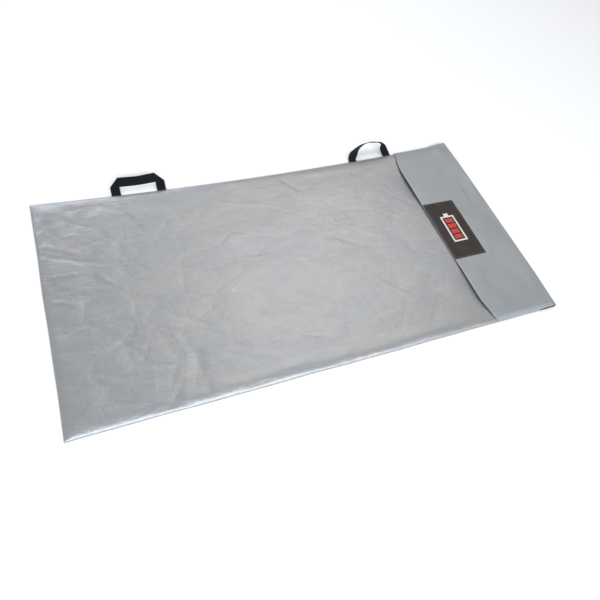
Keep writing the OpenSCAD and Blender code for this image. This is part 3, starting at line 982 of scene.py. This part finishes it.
def flap_points(cell):
    spots = spots_over(cell, fine=(0.6, 1.4, 3.0, 5.5, 9.0))
    top_end = FOLD_X - 12 * MM
    x, y = flap_places(np.linspace(0, 1, int((top_end - FLAP_X) / cell)), spots, top_end)
    top = np.stack([x, y, flap_height(x, y)], axis=2)
    under = [top[0] - np.array([dx, 0, dz]) * MM for dx, dz in UNDER_EDGE]
    hem = [top[0] + np.array([HEM * share, 0, -HEM_DROP]) for share in HEM_SHARES]
    for row in hem:
        row[:, 2] += flap_height(row[:, 0], row[:, 1]) - top[0][:, 2]
    fold_y = across(np.full(len(spots), FOLD_X), spots)
    fold_x, fold_z = fold_section(fold_y, upper=True)
    turned = np.stack([fold_x, np.repeat(fold_y[None, :], HALF_TURN, axis=0), fold_z], axis=2)
    return np.concatenate([np.stack(hem[::-1] + under[::-1]), top, turned[::-1]])


flap = cloth("flap_cloth", flap_points(4 * MM), CLOTH, FLAP)
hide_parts("flap_panel", "flap_edge_hem", "fold_panel")
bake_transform(flap)

# %% [markdown]
# ## Linings
# Both panels and the flap are lined with felted glass cloth that keeps a fire inside. It
# shows at the mouth when the flap is open, so each lining is a real sheet just inside its
# panel. The front lining lies against the front, and the back one on the back.

# %% Linings
def lining_grid(height, x0, x1, inset, cell):
    columns = np.linspace(x0, x1, int((x1 - x0) / cell))
    width = CORNER_Y - NEAR_Y
    spots = np.linspace(inset / width, 1 - inset / width, int(width / cell))
    x = np.repeat(columns[:, None], len(spots), axis=1)
    y = across(x, spots[None, :])
    return np.stack([x, y, height(x, y)], axis=2)


def back_lining_height(x, y):
    return 2.5 * MM + 0.25 * MM * swell(x, y, 61, 16, 0.2, 0.06)


SEAM_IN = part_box("near_seam_binding")[1].y - NEAR_Y + 2 * MM
front_lining = cloth("front_lining_cloth", lining_grid(
    lambda x, y: front_height(x, y) - CLOTH - 0.1 * MM, END_X + SEAM_IN, MOUTH_X - 1 * MM,
    SEAM_IN, 8 * MM), LINING, FELT)
back_lining = cloth("back_lining_cloth", lining_grid(
    back_lining_height, END_X + SEAM_IN, MOUTH_X - 1 * MM, SEAM_IN, 12 * MM), LINING, FELT)
x, y = flap_places(np.linspace(0, 1, 34), np.linspace(0.004, 0.996, 110), FOLD_X - 15 * MM,
                   2.5 * MM)
flap_lining = cloth("flap_lining_cloth", np.stack(
    [x, y, flap_height(x, y) - CLOTH - 0.1 * MM], axis=2), LINING, FELT)
for piece, node, body, size in (
        (front_lining, "front_lining", "pouch", (1.225, 0.645)),
        (back_lining, "back_lining", "pouch", (1.225, 0.64)),
        (flap_lining, "flap_lining", "flap", (0.205, 0.665))):
    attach(piece, body)
    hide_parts(node)

# %% [markdown]
# ## Edge tapes
# A tape is folded over an edge and sewn through. In section it is a narrow C round the
# edge, and the section is carried along the edge by the same rule that placed the cloth.

# %% Edge tapes
def c_tape(name, edge, inward, reach, thickness, body, node, drop):
    """A tape folded over an edge: edge gives points on the outer skin at a set inset."""
    section = [(reach, 0.25), (reach * 0.6, 0.3), (reach * 0.25, 0.35), (0.4, 0.3),
               (-0.5, -0.1), (-0.9, -0.8), (-0.9, -thickness + 0.6), (-0.5, -thickness),
               (0.4, -thickness - 0.35), (reach * 0.5, -thickness - 0.35),
               (reach, -thickness - 0.3)]
    rows = []
    for inset, dz in section:
        points = edge(max(inset, 0) * MM)
        points = points - np.array(inward) * min(inset, 0) * -MM
        points[:, 2] += dz * MM - drop
        rows.append(points)
    piece = cloth(name, np.stack(rows), 0.4 * MM, TAPE)
    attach(piece, body)
    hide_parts(node)
    return piece


# %% Tapes of the flap
def along_flap(y):
    return np.linspace(free_edge(y) - 0.6 * MM, FOLD_X - 15 * MM, 46)


def flap_near_edge(inset):
    place = NEAR_Y - 0.6 * MM + inset
    x = along_flap(place)
    y = np.full(len(x), place)
    return np.stack([x, y, flap_height(x, y)], axis=1)


def flap_far_edge(inset):
    x = along_flap(far_edge(FLAP_X) - inset)
    y = far_edge(x) + 0.6 * MM - inset
    return np.stack([x, y, flap_height(x, y)], axis=1)[::-1]


TAPE_REACH = 11.0
c_tape("flap_near_tape", flap_near_edge, (0, 1, 0), TAPE_REACH, 2.1, "flap",
       "flap_near_binding", 0)
c_tape("flap_far_tape", flap_far_edge, (0, -1, 0), TAPE_REACH, 2.1, "flap",
       "flap_far_binding", 0)

# %% Tape of the mouth
mouth_spots = np.linspace(0.03, 0.97, 150)


def mouth_edge(inset):
    x = np.full(len(mouth_spots), MOUTH_X - inset)
    y = across(x, mouth_spots)
    return np.stack([x, y, front_height(x, y)], axis=1)


c_tape("mouth_tape", mouth_edge, (-1, 0, 0), TAPE_REACH, 2.0, "pouch", "mouth_binding", 0)

# %% [markdown]
# ## Hook and loop
# The closure is a pair of woven strips. The upper one stands full of small bent hooks, and
# the lower one is a mat of loops. Each strip is a sheet that follows the cloth it is sewn
# to. The pile is the sort of thing to leave to Geometry Nodes: one small hook, put on every
# cell of a grid, turned by a seeded random amount.

# %% Hook and loop strips
STRIP_LOW, STRIP_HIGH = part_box("hook_strip")


def strip_grid(height, step=5 * MM):
    columns = np.linspace(STRIP_LOW.x, STRIP_HIGH.x, 11)
    rows = np.linspace(STRIP_LOW.y, STRIP_HIGH.y, int((STRIP_HIGH.y - STRIP_LOW.y) / step))
    x, y = np.meshgrid(columns, rows, indexing="ij")
    return np.stack([x, y, height(x, y)], axis=2)


def hook_face(x, y):
    return flap_height(x, y) - CLOTH - LINING - 0.2 * MM


def loop_face(x, y):
    return front_height(x, y) + 1.0 * MM


hook_strip = cloth("hook_tape", strip_grid(hook_face), 0.8 * MM, HOOKS)
loop_strip = cloth("loop_tape", strip_grid(loop_face), 0.9 * MM, LOOPS)
for piece, node, body in ((hook_strip, "hook_strip", "flap"), (loop_strip, "loop_strip", "pouch")):
    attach(piece, body)
    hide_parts(node)

# %% [markdown]
# ## Things made by Geometry Nodes
# Stitches, hooks and loops are one small shape repeated along a line or over a strip, so a
# node tree makes them: it walks the guide, puts the shape on every point, turns it, adds a
# seeded random lean, and makes the copies real. The tree is built here, used once for each
# guide, and its result is kept as one plain mesh.

# %% Node tree helper
class Tree:
    """A geometry node tree with named inputs."""

    def __init__(self, name, inputs):
        self.group = bpy.data.node_groups.new(name, "GeometryNodeTree")
        face = self.group.interface
        face.new_socket("Guide", in_out="INPUT", socket_type="NodeSocketGeometry")
        for label, value in inputs.items():
            kind = "NodeSocketInt" if isinstance(value, int) else "NodeSocketFloat"
            face.new_socket(label, in_out="INPUT", socket_type=kind).default_value = value
        face.new_socket("Result", in_out="OUTPUT", socket_type="NodeSocketGeometry")
        self.given = self.node("NodeGroupInput").outputs
        self.out = self.node("NodeGroupOutput")

    def node(self, kind, settings=(), **inputs):
        made = self.group.nodes.new(kind)
        for key, value in dict(settings).items():
            setattr(made, key, value)
        for key, value in inputs.items():
            socket = made.inputs[key.replace("_", " ")]
            if isinstance(value, bpy.types.NodeSocket):
                self.group.links.new(value, socket)
            else:
                socket.default_value = value
        return made

    def finish(self, instances, material):
        real = self.node("GeometryNodeRealizeInstances", Geometry=instances)
        painted = self.node("GeometryNodeSetMaterial", Geometry=real.outputs[0])
        painted.inputs["Material"].default_value = material
        self.group.links.new(painted.outputs[0], self.out.inputs[0])


# %% Running a tree
def grown(name, guide, tree, values):
    """Runs a tree over a guide mesh and keeps the result as a plain object."""
    holder = bpy.data.objects.new(name + "_guide", guide)
    bpy.context.scene.collection.objects.link(holder)
    modifier = holder.modifiers.new("grow", "NODES")
    modifier.node_group = tree.group
    for socket in tree.group.interface.items_tree:
        if socket.in_out == "INPUT" and socket.name in values:
            modifier[socket.identifier] = values[socket.name]
    depsgraph = bpy.context.evaluated_depsgraph_get()
    mesh = bpy.data.meshes.new_from_object(holder.evaluated_get(depsgraph),
                                           depsgraph=depsgraph)
    bpy.data.objects.remove(holder)
    mesh.name = name
    piece = bpy.data.objects.new(name, mesh)
    bpy.context.scene.collection.objects.link(piece)
    print("%s: %d faces" % (name, len(mesh.polygons)))
    return piece


# %% Stitch tree
def stitch_tree(material):
    tree = Tree("stitches_" + material.name, {"Pitch": 4.5 * MM, "Length": 3.4 * MM,
                                              "Width": 0.8 * MM, "Height": 0.5 * MM})
    line = tree.node("GeometryNodeMeshToCurve", Mesh=tree.given["Guide"])
    walked = tree.node("GeometryNodeResampleCurve", Curve=line.outputs[0])
    modes = [socket for socket in walked.inputs if socket.name == "Mode"]
    if modes:
        modes[0].default_value = "Length"
    else:
        walked.mode = "LENGTH"
    tree.group.links.new(tree.given["Pitch"], walked.inputs["Length"])
    bead = tree.node("GeometryNodeMeshUVSphere", Segments=8, Rings=6, Radius=0.5)
    size = tree.node("ShaderNodeCombineXYZ", X=tree.given["Length"],
                     Y=tree.given["Width"], Z=tree.given["Height"])
    along = tree.node("GeometryNodeInputTangent")
    facing = tree.node("FunctionNodeAlignRotationToVector", {"axis": "X"},
                       Vector=along.outputs[0])
    copies = tree.node("GeometryNodeInstanceOnPoints", Points=walked.outputs[0],
                       Instance=bead.outputs[0], Rotation=facing.outputs[0],
                       Scale=size.outputs[0])
    tree.finish(copies.outputs[0], material)
    return tree


# %% Lines to stitch along
def line_mesh(name, lines):
    """A mesh of loose edges, one chain for each line of points."""
    points, edges = [], []
    for line in lines:
        first = len(points)
        points += [tuple(point) for point in line]
        edges += [(first + i, first + i + 1) for i in range(len(line) - 1)]
    mesh = bpy.data.meshes.new(name)
    mesh.from_pydata(points, edges, [])
    return mesh


def on_surface(height, x, y, lift):
    """Points of a line laid on a surface."""
    x, y = np.broadcast_arrays(np.asarray(x, float), np.asarray(y, float))
    return np.stack([x, y, height(x, y) + lift], axis=1)


GREY_STITCHES = stitch_tree(GREY_THREAD)
BROWN_STITCHES = stitch_tree(BROWN_THREAD)


def stitches(name, lines, tree, body, node, **sizes):
    values = {key.capitalize(): value for key, value in sizes.items()}
    piece = grown(name, line_mesh(name, lines), tree, values)
    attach(piece, body)
    if node:
        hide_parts(node)
    return piece


# %% [markdown]
# ## Label and sign
# The label is a moulded rubber patch, sewn on round its border. It lies on the seat that the
# flap's rule gives it. Its face is sunk a little inside a raised rim.

# %% Label
def label_face(x, y):
    return label_seat(x, y) + 1.2 * MM


def label_places():
    fine = np.array([0, 0.25, 0.6, 1.2, 2.2, 3.4, 4.0, 4.6]) * MM

    def row(low, high, count):
        inner = np.linspace(low + fine[-1], high - fine[-1], count)[1:-1]
        return np.concatenate([low + fine, inner, high - fine[::-1]])

    return np.meshgrid(row(LABEL_LOW.x - 0.4 * MM, LABEL_HIGH.x, 16),
                       row(LABEL_LOW.y, LABEL_HIGH.y, 28), indexing="ij")


x, y = label_places()
inside = np.minimum(np.minimum(x - x.min(), x.max() - x), np.minimum(y - y.min(), y.max() - y))
round_off = 0.75 * MM * (1 - quarter(inside, 1.3 * MM))
rim = 0.35 * MM * (1 - smooth((inside - 3.0 * MM) / (1.4 * MM)))
label = cloth("label_rubber", np.stack([x, y, label_face(x, y) - round_off + rim], axis=2),
              1.3 * MM, RUBBER)
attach(label, "flap")
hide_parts("label_patch")


# %% [markdown]
# The sign is a plain battery with charge bars, printed on the label's face. Each bar is a
# small grid that takes its height from the face, so none of it sinks where the label bends.

# %% Printed shapes
def printed(name, boxes, material, thickness=0.25 * MM):
    """Flat printed shapes that follow the label's face: each box is x0, x1, y0, y1."""
    vertices, faces = [], []
    for x0, x1, y0, y1 in boxes:
        rows = max(2, int((x1 - x0) / (3 * MM)) + 1)
        cols = max(2, int((y1 - y0) / (3 * MM)) + 1)
        x, y = np.meshgrid(np.linspace(x0, x1, rows), np.linspace(y0, y1, cols), indexing="ij")
        top = np.stack([x, y, label_face(x, y) + thickness], axis=2)
        shell, sides = shell_of(top, 0.7 * MM)
        faces.append(sides + sum(len(part) for part in vertices))
        vertices.append(shell)
    piece = new_piece(name, np.concatenate(vertices), np.concatenate(faces), material)
    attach(piece, "flap")
    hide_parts("label_sign")
    return piece


# %% Sign
SIGN_LOW, SIGN_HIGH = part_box("label_sign")
LINE = 5 * MM
BARS = 4
sign_x0, sign_x1 = SIGN_LOW.x, SIGN_HIGH.x
sign_y0, sign_y1 = SIGN_LOW.y, SIGN_HIGH.y - 2 * LINE
third = (sign_x1 - sign_x0) / 3
printed("sign_outline", [
    (sign_x0, sign_x0 + LINE, sign_y0, sign_y1), (sign_x1 - LINE, sign_x1, sign_y0, sign_y1),
    (sign_x0 + LINE, sign_x1 - LINE, sign_y0, sign_y0 + LINE),
    (sign_x0 + LINE, sign_x1 - LINE, sign_y1 - LINE, sign_y1),
    (sign_x0 + third, sign_x1 - third, sign_y1, sign_y1 + 2 * LINE)], WHITE_INK)
bar = (sign_y1 - sign_y0 - 4 * LINE - (BARS - 1) * LINE) / BARS
printed("sign_bars", [
    (sign_x0 + 2 * LINE, sign_x1 - 2 * LINE, sign_y0 + 2 * LINE + i * (bar + LINE),
     sign_y0 + 2 * LINE + i * (bar + LINE) + bar) for i in range(BARS)], RED_INK)

# %% Stitches round the label
IN = 3.4 * MM
x0, x1 = LABEL_LOW.x + IN, LABEL_HIGH.x - IN
y0, y1 = LABEL_LOW.y + IN, LABEL_HIGH.y - IN
border = [(x0, y0), (x1, y0), (x1, y1), (x0, y1), (x0, y0)]
border_lines = []
for (ax, ay), (bx, by) in zip(border[:-1], border[1:]):
    share = np.linspace(0, 1, 12)
    border_lines.append(on_surface(label_face, ax + (bx - ax) * share,
                                   ay + (by - ay) * share, 0.2 * MM))
stitches("label_stitches", border_lines, BROWN_STITCHES, "flap", "label_thread",
         width=0.7 * MM, pitch=4.2 * MM, length=3.0 * MM)

# %% [markdown]
# ## Rows of stitches
# Each closure strip is held by two rows, which show on the flap's outer face as well, and
# the hem and the mouth tape have a row each.

# %% Stitch rows
row_y = np.linspace(STRIP_LOW.y + 3 * MM, STRIP_HIGH.y - 3 * MM, 140)
flap_rows, loop_rows = [], []
for row_x in (STRIP_LOW.x + 3.4 * MM, STRIP_HIGH.x - 3.4 * MM):
    keep = np.ones(len(row_y), bool)
    if row_x < LABEL_HIGH.x:
        keep = (row_y < LABEL_LOW.y - 1 * MM) | (row_y > LABEL_HIGH.y + 1 * MM)
    for part in (row_y[keep & (row_y < LABEL_LOW.y)], row_y[keep & (row_y > LABEL_HIGH.y)],
                 row_y[keep & (row_y >= LABEL_LOW.y) & (row_y <= LABEL_HIGH.y)]):
        if len(part) > 1:
            flap_rows.append(on_surface(flap_height, row_x, part, 0.05 * MM))
    loop_rows.append(on_surface(loop_face, row_x, row_y, 0.1 * MM))
hem_y = np.linspace(NEAR_Y + 13 * MM, far_edge(FLAP_X) - 13 * MM, 140)
for part in (hem_y[hem_y < LABEL_LOW.y - 1 * MM], hem_y[hem_y > LABEL_HIGH.y + 1 * MM]):
    flap_rows.append(on_surface(flap_height, free_edge(part) + 13 * MM, part, 0.05 * MM))
stitches("flap_stitches", flap_rows, GREY_STITCHES, "flap", "flap_thread")
stitches("loop_strip_stitches", loop_rows, GREY_STITCHES, "pouch", "loop_strip_thread")
mouth_y = across(np.full(len(mouth_spots), MOUTH_X), mouth_spots)
stitches("mouth_stitches", [on_surface(front_height, MOUTH_X - 9 * MM, mouth_y, 0.3 * MM)],
         GREY_STITCHES, "pouch", None)

# %% [markdown]
# ## Pile of the closure strips
# A hook is a short bent bar, and a loop is an arch. Each is a swept curve, put on a grid of
# points over the strip, turned at random, with a fixed seed.

# %% Hooks and loops
def pile_tree(name, sweep, tilt, material):
    tree = Tree(name, {"Height": 0.9 * MM, "Thick": 0.3 * MM, "Lean": 0.25, "Seed": 5})
    arc = tree.node("GeometryNodeCurveArc", Resolution=6, Radius=0.5,
                    Start_Angle=0.0, Sweep_Angle=math.radians(sweep))
    stem = tree.node("GeometryNodeCurvePrimitiveCircle", Resolution=5, Radius=0.12)
    bent = tree.node("GeometryNodeCurveToMesh", Curve=arc.outputs[0],
                     Profile_Curve=stem.outputs[0], Fill_Caps=True)
    upright = tree.node("GeometryNodeTransform", Geometry=bent.outputs[0])
    upright.inputs["Rotation"].default_value = (math.radians(90), 0, 0)
    upright.inputs["Translation"].default_value = (0, 0, tilt)
    size = tree.node("ShaderNodeCombineXYZ", X=tree.given["Height"],
                     Y=tree.given["Height"], Z=tree.given["Height"])
    turn = tree.node("FunctionNodeRandomValue", {"data_type": "FLOAT_VECTOR"})
    turn.inputs[0].default_value = (-0.2, -0.2, 0)
    turn.inputs[1].default_value = (0.2, 0.2, 2 * math.pi)
    tree.group.links.new(tree.given["Seed"], turn.inputs["Seed"])
    copies = tree.node("GeometryNodeInstanceOnPoints", Points=tree.given["Guide"],
                       Instance=upright.outputs[0], Rotation=turn.outputs[0],
                       Scale=size.outputs[0])
    tree.finish(copies.outputs[0], material)
    return tree


# %% Pile on both strips
def point_mesh(name, points):
    mesh = bpy.data.meshes.new(name)
    mesh.from_pydata(points.reshape(-1, 3).tolist(), [], [])
    return mesh


def pile_points(height, pitch, lift):
    xs = np.arange(STRIP_LOW.x + 2 * MM, STRIP_HIGH.x - 1 * MM, pitch)
    ys = np.arange(STRIP_LOW.y + 2 * MM, STRIP_HIGH.y - 1 * MM, pitch)
    x, y = np.meshgrid(xs, ys, indexing="ij")
    return np.stack([x, y, height(x, y) + lift], axis=2)


hook_tree = pile_tree("hooks", 150, -0.1, HOOKS)
loop_tree = pile_tree("loops", 180, 0.0, LOOPS)
hooks = grown("hooks", point_mesh("hooks", pile_points(hook_face, 4.6 * MM, -0.75 * MM)),
              hook_tree, {"Height": 0.9 * MM, "Seed": 3})
loops = grown("loops", point_mesh("loops", pile_points(loop_face, 4.2 * MM, -0.05 * MM)),
              loop_tree, {"Height": 1.3 * MM, "Seed": 4})
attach(hooks, "flap")
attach(loops, "pouch")

# %% [markdown]
# ## Handles
# Each handle is one length of webbing with its two ends caught in the seam. The left one is
# folded over at 45 degrees at its corners, so it lies flat as a U. The right one is a plain
# arch that twists on edge at the top. A ribbon is a grid: one direction runs along the
# webbing and the other across it. Both handles rise out of the seam through a soft bend.

# %% Ribbon helper
WEB_WIDTH = 25 * MM
WEB_THICK = 1.5 * MM
WEB_Z = 2.4 * MM
LEG = 62 * MM
BEND = 5 * MM


def lifted(side, along, off, bend_y, tilt):
    """Moves plane points (side, along, off the plane) over the bend into the tilted plane."""
    steps = np.linspace(-40 * MM, 120 * MM, 3201)
    angle = tilt * smooth((steps + BEND) / (2 * BEND))
    gap = steps[1] - steps[0]
    y = np.cumsum(np.cos(angle)) * gap
    z = np.cumsum(np.sin(angle)) * gap
    y -= np.interp(0, steps, y)
    z -= np.interp(-40 * MM + BEND, steps, z)
    here = np.interp(along, steps, angle)
    return np.stack([side, bend_y + np.interp(along, steps, y) - off * np.sin(here),
                     WEB_Z + np.interp(along, steps, z) + off * np.cos(here)], axis=-1)


# %% A handle as one piece
def webbing_piece(name, points, nodes):
    piece = cloth(name, points, WEB_THICK, WEB)
    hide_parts(*nodes)
    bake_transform(piece)
    return piece


def joint_place(name):
    return next(joint for joint in frame["joints"] if joint["name"] == name)["pos_m"]


# %% Left handle
LEFT_REACH = 43 * MM
CORNER = 24 * MM
LEFT_TILT = math.radians(38)
LEFT_SAG = 2.6 * MM


def folded_handle(centre, bend_y, tilt):
    """One ribbon that goes up, folds over at 45 degrees, runs across and folds down again."""
    share = np.linspace(0, 1, 15)
    fold = LEFT_REACH - CORNER + WEB_WIDTH * share
    side = -LEG - WEB_WIDTH / 2 + WEB_WIDTH * share
    root = far_edge(centre + side) - 11 * MM - bend_y
    rows_side, rows_along, rows_off = [], [], []
    radius = WEB_THICK / 2 + 0.15 * MM
    for step in np.linspace(0, 1, 34):
        rows_side.append(side)
        rows_along.append(root + (fold - root) * step)
        rows_off.append(np.zeros_like(side))
    for turn in np.linspace(0, math.pi, 7)[1:-1]:
        out = radius * math.sin(turn)
        rows_side.append(side - out * math.sqrt(0.5))
        rows_along.append(fold + out * math.sqrt(0.5))
        rows_off.append(np.full_like(side, radius * (1 - math.cos(turn))))
    for step in np.linspace(0, 1, 40):
        here = side * (1 - 2 * step)
        sag = LEFT_SAG * np.sin(math.pi * step) ** 2
        rows_side.append(here)
        rows_along.append(fold - sag)
        rows_off.append(np.full_like(side, 2 * radius) + 1.5 * MM * math.sin(math.pi * step) ** 2)
    for turn in np.linspace(math.pi, 0, 7)[1:-1]:
        out = radius * math.sin(turn)
        rows_side.append(-side + out * math.sqrt(0.5))
        rows_along.append(fold + out * math.sqrt(0.5))
        rows_off.append(np.full_like(side, radius * (1 - math.cos(turn))))
    root = far_edge(centre - side) - 11 * MM - bend_y
    for step in np.linspace(1, 0, 34):
        rows_side.append(-side)
        rows_along.append(root + (fold - root) * step)
        rows_off.append(np.zeros_like(side))
    off = np.stack(rows_off) + WEB_THICK / 2
    return lifted(np.stack(rows_side), np.stack(rows_along), off, bend_y, tilt) + np.array(
        [centre, 0, 0])


left_place = joint_place("left_handle_swing")
left_handle = webbing_piece("left_handle", folded_handle(left_place[0], left_place[1], LEFT_TILT),
                            ("left_handle_ends", "left_handle_webbing"))

# %% Right handle
RIGHT_TILT = math.radians(40)
# Centre line in its own plane: along the bag, out from the bend, and how far it is twisted
RIGHT_PATH = [(-62, -10, 0), (-62, 0, 0), (-60, 6, 4), (-55, 13, 25), (-48, 21, 60),
              (-38, 30, 78), (-26, 37, 83), (-12, 42, 86), (6, 44.5, 87), (22, 43.5, 86),
              (38, 41, 82), (48, 37.5, 60), (52, 31, 22), (54, 24, 6), (56, 16, 0),
              (59, 8, 0), (61.5, 0, 0), (62, -10, 0)]


def twisted_handle(centre, bend_y, tilt):
    """A ribbon along a curve: flat in its plane at both ends, and on edge at the top."""
    knots = np.array(RIGHT_PATH, float)
    reach = np.concatenate([[0], np.cumsum(np.linalg.norm(np.diff(knots[:, :2], axis=0), axis=1))])
    fine = np.linspace(0, reach[-1], 120)
    path = np.stack([np.interp(fine, reach, knots[:, i]) for i in range(3)], axis=1)
    for _ in range(8):
        path[1:-1] = 0.25 * path[:-2] + 0.5 * path[1:-1] + 0.25 * path[2:]
    middle = path[:, :2] * MM
    way = np.gradient(middle, axis=0)
    way /= np.linalg.norm(way, axis=1, keepdims=True)
    turn = np.radians(path[:, 2])
    wide = np.stack([-way[:, 1] * -np.cos(turn), way[:, 0] * -np.cos(turn), np.sin(turn)], axis=1)
    share = np.linspace(-0.5, 0.5, 13)
    spread = share[None, :, None] * WEB_WIDTH * wide[:, None, :]
    side = middle[:, None, 0] + spread[:, :, 0]
    along = middle[:, None, 1] + spread[:, :, 1]
    moved = lifted(side, along, spread[:, :, 2], bend_y, tilt)
    return moved + np.array([centre, 0, WEB_THICK / 2])


right_place = joint_place("right_handle_swing")
right_handle = webbing_piece("right_handle",
                             twisted_handle(right_place[0], right_place[1], RIGHT_TILT),
                             ("right_handle_ends", "right_handle_webbing"))

# %% [markdown]
# ## What is kept from the CAD model
# The tape and thread inside the closed seams, and the close stitching over the ends of the
# handles, are hard to see but real. Their CAD shapes are kept as they are and painted.

# %% Finishes for the kept CAD pieces
for name, finish, name_of_slot in (
        ("near_seam_binding", TAPE, "edge_tape"), ("far_seam_binding", TAPE, "edge_tape"),
        ("end_seam_binding", TAPE, "edge_tape"), ("near_seam_thread", GREY_THREAD, "thread"),
        ("far_seam_thread", GREY_THREAD, "thread"), ("end_seam_thread", GREY_THREAD, "thread"),
        ("handle_bartacks", GREY_THREAD, "thread")):
    mesh = frame["nodes"][name].data
    mesh.materials.clear()
    mesh.materials.append(finish)

# %% [markdown]
# ## Sizes
# Both boxes are printed, the CAD model's and the finished looks', so that they can be compared.

# %% Print the two boxes
sizes = {"cad": cad_box, "visual": [list(corner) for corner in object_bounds()]}
for key, box in sizes.items():
    print(key, [round((box[1][i] - box[0][i]) / MM, 1) for i in range(3)])
